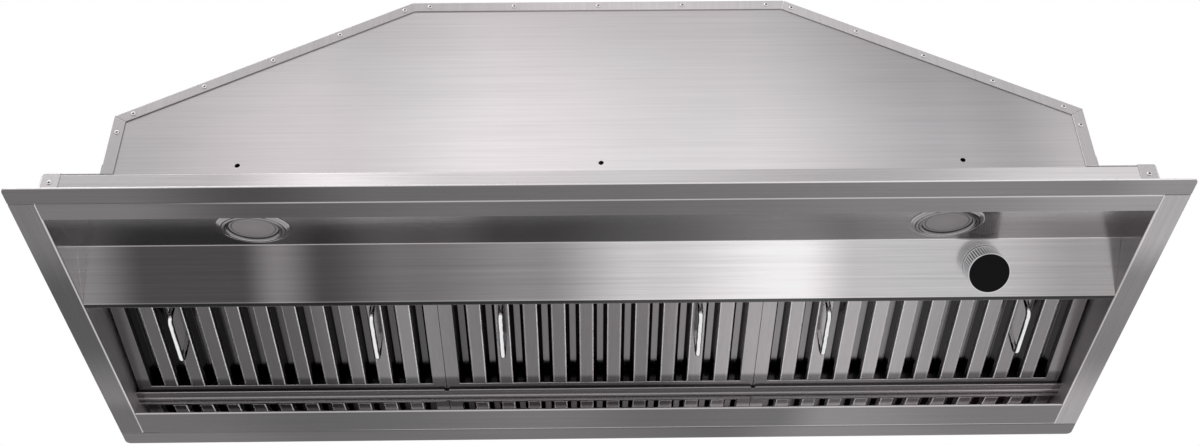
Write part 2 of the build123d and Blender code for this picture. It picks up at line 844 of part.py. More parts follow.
with BuildPart() as scroll:
    with BuildSketch(Plane(origin=axis_point, x_dir=(0, 1, 0), z_dir=(1, 0, 0))):
        with BuildLine():
            spiral_line(sheet)
            spiral_line(0)
            Line((tongue_y - sheet, outlet_top), (tongue_y, outlet_top))
            Line((outlet_outer, outlet_top), (outlet_outer + sheet, outlet_top))
        make_face()
    extrude(amount=scroll_width / 2, both=True)
    with BuildSketch(Plane.XY.offset(housing_top - 2 * sheet)):
        Rectangle(scroll_width + 2 * outlet_flange, outlet_width + 2 * outlet_flange)
        Rectangle(scroll_width, outlet_width, mode=Mode.SUBTRACT)
    extrude(amount=sheet)
keep(scroll, "blower_scroll")

for plate_name, way in (("left", -1), ("right", 1)):
    with BuildPart() as side_plate:
        with BuildSketch(
            Plane(origin=(way * scroll_width / 2, axis_y, axis_z), x_dir=(0, 1, 0), z_dir=(1, 0, 0))
        ):
            with BuildLine():
                spiral_line(sheet)
                Line((tongue_y - sheet, outlet_top), (outlet_outer + sheet, outlet_top))
            make_face()
            Circle(inlet_radius, mode=Mode.SUBTRACT)
        extrude(amount=way * sheet)
        with Locations((way * (scroll_width / 2 + sheet / 2), 0, housing_top - 1.5 * sheet)):
            Box(2 * sheet, 2 * outer_y, sheet, mode=Mode.SUBTRACT)
        # bell mouth that leads the air into the wheel
        with BuildSketch(Plane(origin=axis_point, x_dir=(1, 0, 0), z_dir=(0, -1, 0))):
            bell = inlet_radius - inlet_throat
            centre = (way * (scroll_width / 2 + sheet - bell), inlet_radius)
            with BuildLine():
                mouth = CenterArc(centre, bell, 270, way * 90)
                back = CenterArc(centre, bell - sheet, 270, way * 90)
                Line(mouth @ 0, back @ 0)
                Line(mouth @ 1, back @ 1)
            make_face()
        revolve(axis=Axis(axis_point, (1, 0, 0)))
    keep(side_plate, f"blower_side_{plate_name}")

# a forward-curved blade, bowed between its root and its tip
blade_tip = wheel_radius - blade_inset
with BuildSketch() as blade:
    with BuildLine():
        ThreePointArc(
            (wheel_inner, 0),
            ((wheel_inner + blade_tip) / 2, blade_lead / 2 - blade_bow),
            (blade_tip, blade_lead),
        )
        offset(amount=blade_thickness, side=Side.LEFT)
    make_face()

wheel_start = Plane(origin=(-wheel_width / 2, axis_y, axis_z), x_dir=(0, 1, 0), z_dir=(1, 0, 0))
with BuildPart() as blower_wheel:
    with BuildSketch(wheel_start.offset(wheel_ring)):
        with PolarLocations(0, blade_count):
            add(blade.sketch)
    extrude(amount=wheel_width - 2 * wheel_ring)
    for ring_start in (0, wheel_width - wheel_ring):
        with BuildSketch(wheel_start.offset(ring_start)):
            Circle(wheel_radius)
            Circle(wheel_inner - blade_inset, mode=Mode.SUBTRACT)
        extrude(amount=wheel_ring)
    with BuildSketch(wheel_start.offset((wheel_width - wheel_disc) / 2)):
        Circle(wheel_radius)
    extrude(amount=wheel_disc)
    with BuildSketch(wheel_start.offset(wheel_width / 2 - hub_offset)):
        Circle(hub_radius)
    extrude(amount=hub_length)
    with BuildSketch(wheel_start):
        Circle(motor_shaft / 2 + running)
    extrude(amount=wheel_width, mode=Mode.SUBTRACT)
keep(blower_wheel, "blower_wheel")

shaft_start = -hub_offset - shaft_overhang
shaft_end = motor_from_middle + shaft_depth
with BuildPart() as shaft:
    with BuildSketch(Plane(origin=(shaft_start, axis_y, axis_z), x_dir=(0, 1, 0), z_dir=(1, 0, 0))):
        Circle(motor_shaft / 2)
    extrude(amount=shaft_end - shaft_start)
keep(shaft, "motor_shaft")

motor_end = scroll_width / 2 + sheet
bearing = motor_shaft / 2 + running
with BuildPart() as motor:
    with BuildSketch(Plane(origin=axis_point, x_dir=(1, 0, 0), z_dir=(0, -1, 0))):
        with BuildLine():
            Polyline(
                (motor_from_middle, bearing),
                (motor_from_middle, motor_boss),
                (motor_from_middle + motor_boss_length, motor_boss),
                (motor_from_middle + motor_boss_length + motor_taper, motor_shell),
                (motor_from_middle + motor_band, motor_shell),
                (motor_from_middle + motor_band, motor_radius),
                (motor_end - motor_band, motor_radius),
                (motor_end - motor_band, motor_shell),
                (motor_end - motor_taper, motor_shell),
                (motor_end, motor_foot),
                (motor_end, 0),
                (shaft_end + running, 0),
                (shaft_end + running, bearing),
                close=True,
            )
        make_face()
    revolve(axis=Axis(axis_point, (1, 0, 0)))
keep(motor, "blower_motor")

spider_reach = inlet_radius + spider_lap
with BuildPart() as spider:
    with BuildSketch(Plane(origin=(motor_end, axis_y, axis_z), x_dir=(0, 1, 0), z_dir=(1, 0, 0))):
        Circle(spider_ring)
        with PolarLocations(spider_reach / 2, 3, start_angle=90):
            Rectangle(spider_reach, spider_arm)
        with PolarLocations(spider_reach - spider_hole_inset, 3, start_angle=90):
            Circle(spider_hole / 2, mode=Mode.SUBTRACT)
        Circle(spider_bore, mode=Mode.SUBTRACT)
    extrude(amount=spider_sheet)
keep(spider, "motor_spider")

# ================================================================ duct collar and damper
collar_radius = collar_diameter / 2
rod_z = housing_top + damper_height
stop_z = rod_z - flap_sheet / 2 - seat - sheet
with BuildPart() as collar:
    with BuildSketch(Plane.XY.offset(housing_top)):
        Circle(collar_radius + collar_flange)
        Circle(collar_radius - sheet, mode=Mode.SUBTRACT)
    extrude(amount=sheet)
    with BuildSketch(Plane.XY.offset(housing_top)):
        Circle(collar_radius)
        Circle(collar_radius - sheet, mode=Mode.SUBTRACT)
    extrude(amount=collar_height)
    with BuildSketch(Plane.XY.offset(stop_z)):
        Circle(collar_radius - sheet / 2)
        Circle(collar_radius - sheet - stop_width, mode=Mode.SUBTRACT)
    extrude(amount=sheet)
    with BuildSketch(Plane.YZ):
        with Locations((0, rod_z)):
            Circle(damper_rod / 2 + running)
    extrude(amount=collar_diameter, both=True, mode=Mode.SUBTRACT)
keep(collar, "duct_collar")

with BuildPart() as rod:
    with BuildSketch(Plane.YZ):
        with Locations((0, rod_z)):
            Circle(damper_rod / 2)
    extrude(amount=collar_radius, both=True)
keep(rod, "damper_rod")

knuckle_radius = damper_rod / 2 + running + knuckle_wall


def flap(name, way, places):
    """Half-round damper flap on one side of the rod, with its knuckles round the rod."""
    with BuildPart() as leaf:
        with BuildSketch(Plane.XY.offset(rod_z - flap_sheet / 2)):
            Circle(collar_radius - sheet - flap_gap)
            with Locations((0, way * (knuckle_radius + seat - collar_radius))):
                Rectangle(2 * collar_diameter, collar_diameter, mode=Mode.SUBTRACT)
            with Locations(*[(x, way * (knuckle_radius + seat)) for x in places]):
                Rectangle(knuckle_length, knuckle_web)
        extrude(amount=flap_sheet)
        for x in places:
            with BuildSketch(Plane.YZ.offset(x - knuckle_length / 2)):
                with Locations((0, rod_z)):
                    Circle(knuckle_radius)
            extrude(amount=knuckle_length)
        with BuildSketch(Plane.YZ):
            with Locations((0, rod_z)):
                Circle(damper_rod / 2 + running)
        extrude(amount=collar_diameter, both=True, mode=Mode.SUBTRACT)
    keep(leaf, name)


flap("damper_flap_front", -1, (-2 * knuckle_pitch, 0, 2 * knuckle_pitch))
flap("damper_flap_rear", 1, (-knuckle_pitch, knuckle_pitch))

# ================================================================ wiring boxes
box_back = Plane.XZ.offset(sheet - wall_y)
with BuildPart() as junction_box:
    with BuildSketch(box_back):
        with Locations((supply_box_x, supply_box_z)):
            Rectangle(supply_box, supply_box_height)
    extrude(amount=supply_box_depth)
    with BuildSketch(box_back.offset(supply_box_wall)):
        with Locations((supply_box_x, supply_box_z)):
            Rectangle(supply_box - 2 * supply_box_wall, supply_box_height - 2 * supply_box_wall)
    extrude(amount=supply_box_depth, mode=Mode.SUBTRACT)
    with BuildSketch(box_back):
        with Locations((supply_box_x, supply_box_z)):
            Circle(knockout_diameter / 2)
    extrude(amount=supply_box_wall, mode=Mode.SUBTRACT)
keep(junction_box, "junction_box")

with BuildPart() as box_lid:
    with BuildSketch(box_back.offset(supply_box_depth)):
        with Locations((supply_box_x, supply_box_z)):
            RectangleRounded(supply_box + 2 * lid_lap, supply_box_height + 2 * lid_lap, lid_corner)
    extrude(amount=supply_box_wall)
keep(box_lid, "junction_box_lid")

with BuildPart() as driver:
    with BuildSketch(light_plane.offset(-sheet)):
        with Locations((0, lamp_from_ridge)):
            RectangleRounded(driver_length, driver_width, driver_corner)
    extrude(amount=-driver_height)
    with BuildSketch(light_plane.offset(-sheet)):
        with Locations((0, lamp_from_ridge)):
            Rectangle(driver_length + 2 * driver_foot, driver_foot_width)
            with GridLocations(driver_length + driver_foot, 0, 2, 1):
                Circle(driver_hole / 2, mode=Mode.SUBTRACT)
    extrude(amount=-driver_foot_sheet)
keep(driver, "lamp_driver")
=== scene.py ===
"""Dresses a built-in range hood insert: its steel, lamps, knob, filters, blower, fasteners and studio."""

from __future__ import annotations

import logging
import math
from collections.abc import Iterable, Mapping, Sequence
from dataclasses import dataclass, replace
from enum import Enum
from typing import Any, Union

import bmesh
import bpy
from mathutils import Matrix, Vector

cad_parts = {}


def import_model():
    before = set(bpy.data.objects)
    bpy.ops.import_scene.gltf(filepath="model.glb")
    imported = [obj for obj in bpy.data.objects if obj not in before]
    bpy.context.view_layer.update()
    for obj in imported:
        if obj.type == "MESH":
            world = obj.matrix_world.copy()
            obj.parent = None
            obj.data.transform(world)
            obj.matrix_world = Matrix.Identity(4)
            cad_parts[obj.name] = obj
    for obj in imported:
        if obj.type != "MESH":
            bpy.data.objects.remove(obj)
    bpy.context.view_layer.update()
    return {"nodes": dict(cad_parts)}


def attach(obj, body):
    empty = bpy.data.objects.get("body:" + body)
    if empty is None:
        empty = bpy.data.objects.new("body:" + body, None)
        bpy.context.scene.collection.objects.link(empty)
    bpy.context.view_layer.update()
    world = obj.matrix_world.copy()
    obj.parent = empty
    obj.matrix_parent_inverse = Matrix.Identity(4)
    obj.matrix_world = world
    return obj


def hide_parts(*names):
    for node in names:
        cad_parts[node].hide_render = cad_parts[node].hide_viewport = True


log = logging.getLogger("hood_insert")

Colour = tuple[float, float, float]
Place = tuple[float, float, float]
Stops = tuple[tuple[float, float], ...]
Ring = list[Vector]
Section = tuple[tuple[float, float], ...]
Fixing = tuple[Place, Place]
Key = Union[int, str]
Inputs = Mapping[Key, Any]

IMAGE_WIDTH = 1200
SENSOR_WIDTH = 36.0
WAYS = (-1, 1)
SHARP_DEGREES = 38
EDGE_SAMPLES = 6
# Where an edge's painted highlight starts and where it is full, by how far rounding it turns the surface
EDGE_SHOWS = (0.006, 0.09)
# The same for a fold that runs along the front, by how little it looks to the side
LOOKS_FRONT = (0.5, 0.9)
SMOOTHEST_SHEET = 0.03
SMOOTHEST_PIECE = 0.02
# The least that painted shade on sideways faces may bring a tone down to
DARKEST_UPSTAND = 0.02


class Axis(Enum):
    """One direction of the hood: along its front, front to rear, or up."""

    X = 0
    Y = 1
    Z = 2


class Grain(Enum):
    """Which way a sheet was brushed, as how far its lines are drawn out along X, Y and Z."""

    ALONG_FRONT = (0.01, 1.0, 1.0)
    FRONT_TO_REAR = (1.0, 0.01, 1.0)
    UPRIGHT = (1.0, 1.0, 0.01)

    def soft(self) -> Place:
        """The gentler stretch of the soft clouds between the lines."""
        return tuple(0.3 if part < 1 else 1.0 for part in self.value)


class Gleaming(Enum):
    """Which of a sheet's folds and cut edges get a painted highlight."""

    ALL = "all"
    TO_MIDDLE = "to_middle"
    ALONG_FRONT = "along_front"


class Drive(Enum):
    """What the middle of a fastener's head looks like."""

    PIT = "pit"
    CROSS = "cross"


# ---------------------------------------------------------------- shader nodes as expressions
class Signal:
    """A number, vector or colour that one node hands to the next, with sums that add Math nodes."""

    def __init__(self, shading: Shading, socket: bpy.types.NodeSocket) -> None:
        """Keep one output of a node and the tree that it belongs to."""
        self.shading = shading
        self.socket = socket

    def _math(self, operation: str, *values: Number) -> Signal:
        """Add one Math node, with its operands in order."""
        return self.shading.node("ShaderNodeMath", {"operation": operation}, dict(enumerate(values)))

    def __add__(self, other: Number) -> Signal:
        """Sum of both."""
        return self._math("ADD", self, other)

    def __sub__(self, other: Number) -> Signal:
        """This less the other."""
        return self._math("SUBTRACT", self, other)

    def __rsub__(self, other: Number) -> Signal:
        """The other less this."""
        return self._math("SUBTRACT", other, self)

    def __mul__(self, other: Number) -> Signal:
        """Product of both."""
        return self._math("MULTIPLY", self, other)

    __radd__ = __add__
    __rmul__ = __mul__

    def __abs__(self) -> Signal:
        """Distance from zero."""
        return self._math("ABSOLUTE", self)

    def larger(self, other: Number) -> Signal:
        """The larger of both."""
        return self._math("MAXIMUM", self, other)

    def rise(self, start: float, end: float) -> Signal:
        """Go smoothly from 0 at the first value to 1 at the second."""
        inputs = {"Value": self, "From Min": start, "From Max": end}
        return self.shading.node("ShaderNodeMapRange", {"interpolation_type": "SMOOTHSTEP"}, inputs)

    def _vector(self, operation: str, inputs: Inputs, output: str = "Vector") -> Signal:
        """Add one Vector Math node, with this as its first operand."""
        settings = {"operation": operation}
        return self.shading.node("ShaderNodeVectorMath", settings, {0: self, **inputs}, output)

    def stretched(self, factors: Place) -> Signal:
        """This place with each direction multiplied by its own factor."""
        return self._vector("MULTIPLY", {1: factors})

    def scaled(self, factor: Number) -> Signal:
        """This place or colour times one number."""
        return self._vector("SCALE", {"Scale": factor})

    def agrees(self, other: Signal) -> Signal:
        """1 where this direction is the other one, less the further they part."""
        return self._vector("DOT_PRODUCT", {1: other}, "Value")

    def from_axle(self, centre: Place, axle: Place) -> Signal:
        """How many metres this place is from an axle through a centre, whose direction is one long."""
        across = self._vector("SUBTRACT", {1: centre})._vector("CROSS_PRODUCT", {1: axle})
        return across._vector("LENGTH", {}, "Value")

    def along(self, axis: Axis) -> Signal:
        """This place's distance along one axis."""
        return self.shading.node("ShaderNodeSeparateXYZ", {}, {0: self}, axis.value)


Number = Union[float, Signal]
Value = Union[float, Colour, Signal]


class Shading:
    """The node tree of one finish, or of the studio's sky."""

    def __init__(self, owner: Union[bpy.types.Material, bpy.types.World]) -> None:
        """Empty the owner's node tree.

        Args:
            owner: The material or world that the nodes are for.
        """
        owner.use_nodes = True
        self.tree = owner.node_tree
        self.tree.nodes.clear()

    def node(self, kind: str, settings: Mapping[str, Any], inputs: Inputs, output: Key = 0) -> Signal:
        """Add one node.

        Args:
            kind: The node's type.
            settings: Its options, which are set before its inputs.
            inputs: A plain value or a signal for each input, by name or number.
            output: The output that is handed on.

        Returns:
            The node's output.
        """
        made = self.tree.nodes.new(kind)
        for setting, value in settings.items():
            setattr(made, setting, value)
        for key, value in inputs.items():
            socket = made.inputs[key]
            if isinstance(value, Signal):
                self.tree.links.new(value.socket, socket)
            elif socket.type == "RGBA":
                socket.default_value = (*value, 1.0)
            else:
                socket.default_value = value
        return Signal(self, made.outputs[output])

    def end(self, kind: str, surface: Signal) -> None:
        """Close the tree with its last node, which shows the surface."""
        last = self.tree.nodes.new(kind)
        self.tree.links.new(surface.socket, last.inputs["Surface"])

    def shown(self) -> Signal:
        """1 where a ray sees, mirrors or looks through to this, 0 where it only takes its light."""
        paths = ("Is Camera Ray", "Is Glossy Ray", "Is Transmission Ray")
        seen, mirrored, through = (self.node("ShaderNodeLightPath", {}, {}, path) for path in paths)
        return seen.larger(mirrored).larger(through)

    def place(self) -> Signal:
        """The point's place on the hood, in metres."""
        return self.node("ShaderNodeTexCoord", {}, {}, "Object")

    def facing(self, smooth: bool = False) -> Signal:
        """The surface's own direction, facet by facet or smooth."""
        return self.node("ShaderNodeNewGeometry", {}, {}, "Normal" if smooth else "True Normal")

    def sideways(self, smooth: bool = False) -> Signal:
        """How far the surface looks to the left or right, from 0 to 1."""
        return abs(self.facing(smooth).along(Axis.X))

    def from_behind(self) -> Signal:
        """1 where a thin sheet is met from its back, 0 from its front."""
        return self.node("ShaderNodeNewGeometry", {}, {}, "Backfacing")

    def rounded(self, reach: float) -> Signal:
        """The surface's direction with its folds and edges rounded off over a few tenths."""
        return self.node("ShaderNodeBevel", {"samples": EDGE_SAMPLES}, {"Radius": reach})

    def edges(self, rounded: Signal) -> Signal:
        """1 along the folds and edges that were rounded off, 0 between them."""
        return (1 - rounded.agrees(self.facing())).rise(*EDGE_SHOWS)

    def colour(self, value: Colour) -> Signal:
        """A colour that later steps can scale."""
        return self.node("ShaderNodeCombineXYZ", {}, dict(enumerate(value)))

    def noise(self, place: Signal, scale: float, detail: float = 2.0) -> Signal:
        """Noise round zero, about -0.5 to 0.5, by its lumps for each metre and its finer layers."""
        return self.node("ShaderNodeTexNoise", {}, {"Vector": place, "Scale": scale, "Detail": detail}) - 0.5

    def crystals(self, place: Signal, scale: float) -> Signal:
        """A number from 0 to 1 that stays the same all over each crystal of a zinc coat."""
        return self.node("ShaderNodeTexVoronoi", {}, {"Vector": place, "Scale": scale}, "Color").along(Axis.X)

    def profile(self, value: Signal, stops: Stops) -> Number:
        """Follow a few stops smoothly.

        Args:
            value: What the stops are measured along.
            stops: Pairs of value and result, in rising order.

        Returns:
            The result at the value.
        """
        result: Number = stops[0][1]
        for (start, low), (end, high) in zip(stops, stops[1:]):
            result = value.rise(start, end) * (high - low) + result
        return result

    def mixed(self, factor: Number, first: Value, second: Value) -> Signal:
        """The first colour at a factor of 0, the second at 1, and a mixture between."""
        return self.node("ShaderNodeMix", {"data_type": "RGBA"}, {0: factor, 6: first, 7: second}, 2)

    def bump(self, height: Signal, strength: float, depth: float, over: Union[Signal, None] = None) -> Signal:
        """The surface's direction, or the one given, tilted by a height of so many metres."""
        inputs = {"Height": height, "Strength": strength, "Distance": depth}
        return self.node("ShaderNodeBump", {}, inputs if over is None else inputs | {"Normal": over})

    def surface(self, **inputs: Value) -> None:
        """Close the tree with a surface that takes values by the names of its inputs, with _ for a space."""
        named = {key.replace("_", " "): value for key, value in inputs.items()}
        self.end("ShaderNodeOutputMaterial", self.node("ShaderNodeBsdfPrincipled", {}, named))


# ---------------------------------------------------------------- finishes
@dataclass(frozen=True)
class Limits:
    """The part of a folded sheet that lies between two places on one axis.

    Attributes:
        axis: The axis.
        low: Where the part starts, in metres.
        high: Where it ends, in metres.
        blur: How far it takes to fade in and out, in metres.
    """

    axis: Axis
    low: float = -1.0
    high: float = 1.0
    blur: float = 0.0006

    def mask(self, place: Signal) -> Signal:
        """1 inside the part, 0 outside it."""
        value = place.along(self.axis)
        entered = value.rise(self.low - self.blur, self.low + self.blur)
        left = value.rise(self.high - self.blur, self.high + self.blur)
        return entered * (1 - left)


@dataclass(frozen=True)
class Shade:
    """How a sheet's tone goes up and down along one axis; in its colour this is painted light, shade and
    reflection, and under polish it scales the dullness instead.

    Attributes:
        axis: The axis that the stops are measured along.
        stops: Pairs of metres and tone, in rising order.
        within: The part of the sheet that it holds for, or None for all of it.
    """

    axis: Axis
    stops: Stops
    within: Union[Limits, None] = None

    def tone(self, shading: Shading, place: Signal) -> Number:
        """Follow the stops inside the limits and stay at 1 outside them."""
        followed = shading.profile(place.along(self.axis), self.stops)
        return followed if self.within is None else (followed - 1) * self.within.mask(place) + 1


@dataclass(frozen=True)
class Crease:
    """The painted highlight along one fold, or along a cut edge.

    Attributes:
        axis: The axis that the line stands across.
        place: Where it is, in metres.
        gleam: How much paler it is than the sheet.
        half_width: Half its width, in metres.
        within: The part of the line that gleams, or None for all of it.
    """

    axis: Axis
    place: float
    gleam: float
    half_width: float = 0.0009
    within: Union[Limits, None] = None

    def line(self, place: Signal) -> Signal:
        """The painted highlight that the fold adds to the sheet's tone."""
        limits = Limits(self.axis, self.place - self.half_width, self.place + self.half_width, 0.0004)
        line = limits.mask(place) * self.gleam
        return line if self.within is None else line * self.within.mask(place)


@dataclass(frozen=True)
class Folds:
    """How all the sharp folds and cut edges of a sheet are rounded off, with a highlight painted along them.

    Attributes:
        reach: Metres that they are rounded over.
        gleam: How much paler than the sheet their lines are.
        which: Whether all gleam, or only those that look to the hood's middle, or run along its front.
        turn: How soon a fold gleams as it looks towards the middle, for each metre from it.
    """

    reach: float = 0.0011
    gleam: float = 0.35
    which: Gleaming = Gleaming.ALL
    turn: float = 9.0

    def line(self, shading: Shading, place: Signal, rounded: Signal) -> Signal:
        """Find the painted highlight that the folds add to the sheet's tone.

        Args:
            shading: The material's tree.
            place: Where on the sheet.
            rounded: The sheet's direction with its folds rounded off.

        Returns:
            The addition.
        """
        line = shading.edges(rounded) * self.gleam
        if self.which is Gleaming.ALL:
            return line
        sideways = rounded.along(Axis.X)
        if self.which is Gleaming.ALONG_FRONT:
            return line * (1 - abs(sideways)).rise(*LOOKS_FRONT)
        return line * (0.5 - sideways * place.along(Axis.X) * self.turn).rise(0.0, 1.0)


@dataclass(frozen=True)
class Finish:
    """What every finish has.

    Attributes:
        name: The finish's name.
        colour: Its colour, as light that it sends back.
        roughness: How dull it is, from 0 to 1.
    """

    name: str
    colour: Colour
    roughness: float

    def dress(self) -> bpy.types.Material:
        """Make the finish's material."""
        material = bpy.data.materials.new(self.name)
        self.lay(Shading(material))
        return material

    def lay(self, shading: Shading) -> None:
        """Add the finish's nodes to the material's empty tree."""
        raise NotImplementedError


@dataclass(frozen=True)
class BrushedSteel(Finish):
    """Stainless sheet with fine brushed lines, longer streaks and soft clouds.

    Attributes:
        grain: Which way it was brushed.
        painted_light: The light, shade and reflections painted into its tone over the sheet.
        polish: How its dullness and its brushed lines change over the sheet.
        crease_highlights: The highlights painted along its rounded folds.
        folds: How its sharp folds and cut edges are rounded off, and the highlights painted along them.
        upstand_light: Painted light on the faces that look sideways: how much paler, or below zero darker,
            they are.
        upstand_dullness: How much duller those faces are.
        line_width: Metres from one brushed line to the next.
        streak_width: Metres from one long streak to the next.
        cloud_count: Soft clouds for each metre.
        hue_count: Changes of hue for each metre.
        hue_contrast: How strongly those differ.
        streaks: How much the lines and streaks change the tone.
        clouds: How much the soft clouds change the tone.
        line_dullness: How much the brushed lines change the dullness.
        cloud_dullness: How much the soft clouds change it.
        line_relief: How much of the brushed lines' relief shows.
        line_depth: Metres between their top and bottom.
        graze: How much of its own tone it keeps when it is seen along its face.
    """

    grain: Grain = Grain.ALONG_FRONT
    painted_light: tuple[Shade, ...] = ()
    polish: tuple[Shade, ...] = ()
    crease_highlights: tuple[Crease, ...] = ()
    folds: Folds = Folds()
    upstand_light: float = 0.0
    upstand_dullness: float = 0.0
    line_width: float = 0.0006
    streak_width: float = 0.0026
    cloud_count: float = 9.0
    hue_count: float = 4.0
    hue_contrast: float = 2.2
    streaks: float = 0.40
    clouds: float = 0.16
    line_dullness: float = 0.10
    cloud_dullness: float = 0.05
    line_relief: float = 0.6
    line_depth: float = 0.00003
    graze: float = 1.0

    @property
    def tint(self) -> Colour:
        """The cooler, greener colour that its clouds turn to."""
        red, green, blue = self.colour
        return (red * 0.95, green * 1.005, blue)

    def lay(self, shading: Shading) -> None:
        """Add the finish's nodes.

        Args:
            shading: The material's empty tree.
        """
        place = shading.place()
        drawn = place.stretched(self.grain.value)
        lines = shading.noise(drawn, 1 / self.line_width)
        streaks = shading.noise(drawn, 1 / self.streak_width, 3.0)
        clouds = shading.noise(place.stretched(self.grain.soft()), self.cloud_count, 3.0)
        hue = shading.noise(place, self.hue_count) * self.hue_contrast + 0.5
        sideways = shading.sideways()
        rounded = shading.rounded(self.folds.reach)
        tone = 1 + (lines * 0.5 + streaks) * self.streaks + clouds * self.clouds
        # Painted light: light, shade and reflections painted into the tone along the sheet
        for shade in self.painted_light:
            tone = tone * shade.tone(shading, place)
        # Painted light and shade on the faces that look sideways
        if self.upstand_light:
            tone = tone * (1 + sideways * self.upstand_light).larger(DARKEST_UPSTAND)
        # Painted highlights along the rounded folds
        for crease in self.crease_highlights:
            tone = tone + crease.line(place)
        # Painted highlights along the sharp folds and cut edges
        tone = tone + self.folds.line(shading, place, rounded)
        gloss: Number = 1.0
        for shade in self.polish:
            gloss = gloss * shade.tone(shading, place)
        dullness = (self.roughness + lines * self.line_dullness + clouds * self.cloud_dullness) * gloss
        dullness = dullness + sideways * self.upstand_dullness
        shading.surface(
            Base_Color=shading.mixed(hue, self.colour, self.tint).scaled(tone),
            Metallic=1.0,
            Roughness=dullness.larger(SMOOTHEST_SHEET),
            Normal=shading.bump(lines * gloss, self.line_relief, self.line_depth, rounded),
            Specular_Tint=(self.graze, self.graze, self.graze),
        )


@dataclass(frozen=True)
class Layer:
    """One layer of noise in a finish.

    Attributes:
        lumps: Its lumps for each metre.
        tone: How much it changes the tone.
        dullness: How much it changes the dullness.
        detail: How many finer layers it has.
    """

    lumps: float
    tone: float = 0.0
    dullness: float = 0.0
    detail: float = 2.0

    def laid(self, shading: Shading, place: Signal) -> tuple[Signal, Layer]:
        """The layer's noise, and the layer."""
        return shading.noise(place, self.lumps, self.detail), self


@dataclass(frozen=True)
class Rings:
    """How the tone of a turned or pressed piece changes from its axle outwards: shade painted into its
    grooves and highlights painted on its ridges.

    Attributes:
        centre: A point on the axle, in metres.
        axle: The axle's direction, one long.
        stops: Pairs of distance from the axle and tone, in rising order.
    """

    centre: Place
    axle: Place
    stops: Stops

    def tone(self, shading: Shading, place: Signal) -> Number:
        """The tone at a place."""
        return shading.profile(place.from_axle(self.centre, self.axle), self.stops)


@dataclass(frozen=True)
class GrainedFinish(Finish):
    """A surface with a fine grain and soft clouds.

    Attributes:
        grain: Its fine grain, which also tilts it.
        clouds: Its soft clouds.
        relief: How much of the grain's relief shows.
        depth: Metres that the grain is deep.
        metallic: 1 for metal, 0 for anything else.
        shine: How strongly the skin of anything else mirrors.
        coat: How much clear coat lies over it.
        clear: How much light passes through it.
        rings: The shade and highlights painted in rings round its axle, or None.
    """

    grain: Layer = Layer(250.0)
    clouds: Layer = Layer(20.0)
    relief: float = 0.5
    depth: float = 0.00004
    metallic: float = 0.0
    shine: float = 0.5
    coat: float = 0.0
    clear: float = 0.0
    rings: Union[Rings, None] = None

    def layers(self, shading: Shading, place: Signal) -> list[tuple[Signal, Layer]]:
        """Its layers of noise, the grain first."""
        return [self.grain.laid(shading, place), self.clouds.laid(shading, place)]

    def tone(self, shading: Shading, place: Signal) -> Number:
        """How its tone changes from its axle outwards, as painted shade and highlights, or 1 without rings.
        """
        return 1.0 if self.rings is None else self.rings.tone(shading, place)

    def lay(self, shading: Shading) -> None:
        """Add the finish's nodes.

        Args:
            shading: The material's empty tree.
        """
        place = shading.place()
        layers = self.layers(shading, place)
        tone: Number = 1.0
        dullness: Number = self.roughness
        for noise, layer in layers:
            tone = tone + noise * layer.tone
            dullness = dullness + noise * layer.dullness
        shading.surface(
            Base_Color=shading.colour(self.colour).scaled(tone * self.tone(shading, place)),
            Metallic=self.metallic,
            Roughness=dullness.larger(SMOOTHEST_PIECE),
            Normal=shading.bump(layers[0][0], self.relief, self.depth),
            IOR=1.5,
            Specular_IOR_Level=self.shine,
            Coat_Weight=self.coat,
            Transmission_Weight=self.clear,
        )


@dataclass(frozen=True)
class PolishedMetal(GrainedFinish):
    """Plated or turned metal with faint wipe marks."""

    grain: Layer = Layer(250.0, 0.06, 0.08, 4.0)
    clouds: Layer = Layer(20.0, 0.06, 0.08)
    relief: float = 0.15
    metallic: float = 1.0


@dataclass(frozen=True)
class ChromePlate(PolishedMetal):
    """Bright plate on a bent rod.

    Attributes:
        flanks: Tone of the parts that look sideways, painted dark as a reflection of the dark of the room.
        patches: Soft patches, drawn out from front to rear, that break the flanks' edge.
    """

    flanks: float = 0.03
    patches: Layer = Layer(250.0, 0.5, detail=3.0)

    def tone(self, shading: Shading, place: Signal) -> Number:
        """Paint a dark reflection on the flanks, with a broken edge.

        Args:
            shading: The material's tree.
            place: Where on the rod.

        Returns:
            The factor for the plate's tone.
        """
        patches, layer = self.patches.laid(shading, place.stretched((1.0, 0.35, 1.0)))
        edge = shading.sideways(smooth=True) + patches * layer.tone
        return shading.profile(edge, ((0.5, 1.0), (0.76, self.flanks)))


@dataclass(frozen=True)
class MouldedPlastic(GrainedFinish):
    """Moulded plastic with a fine spark-eroded texture."""

    grain: Layer = Layer(1 / 0.0007, 0.25)
    clouds: Layer = Layer(30.0, 0.12, 0.12)


@dataclass(frozen=True)
class EnamelledShell(GrainedFinish):
    """Stoved enamel over pressed steel, with orange peel and dust."""

    grain: Layer = Layer(400.0)
    clouds: Layer = Layer(45.0, 0.5, 0.2, 4.0)
    relief: float = 0.35
    depth: float = 0.0001
    coat: float = 0.25


@dataclass(frozen=True)
class FrostedGlass(GrainedFinish):
    """Lamp lens of acid-etched glass."""

    grain: Layer = Layer(1600.0, 0.05, 0.1)
    clouds: Layer = Layer(40.0, 0.08)
    relief: float = 0.4
    depth: float = 0.00003
    clear: float = 0.15


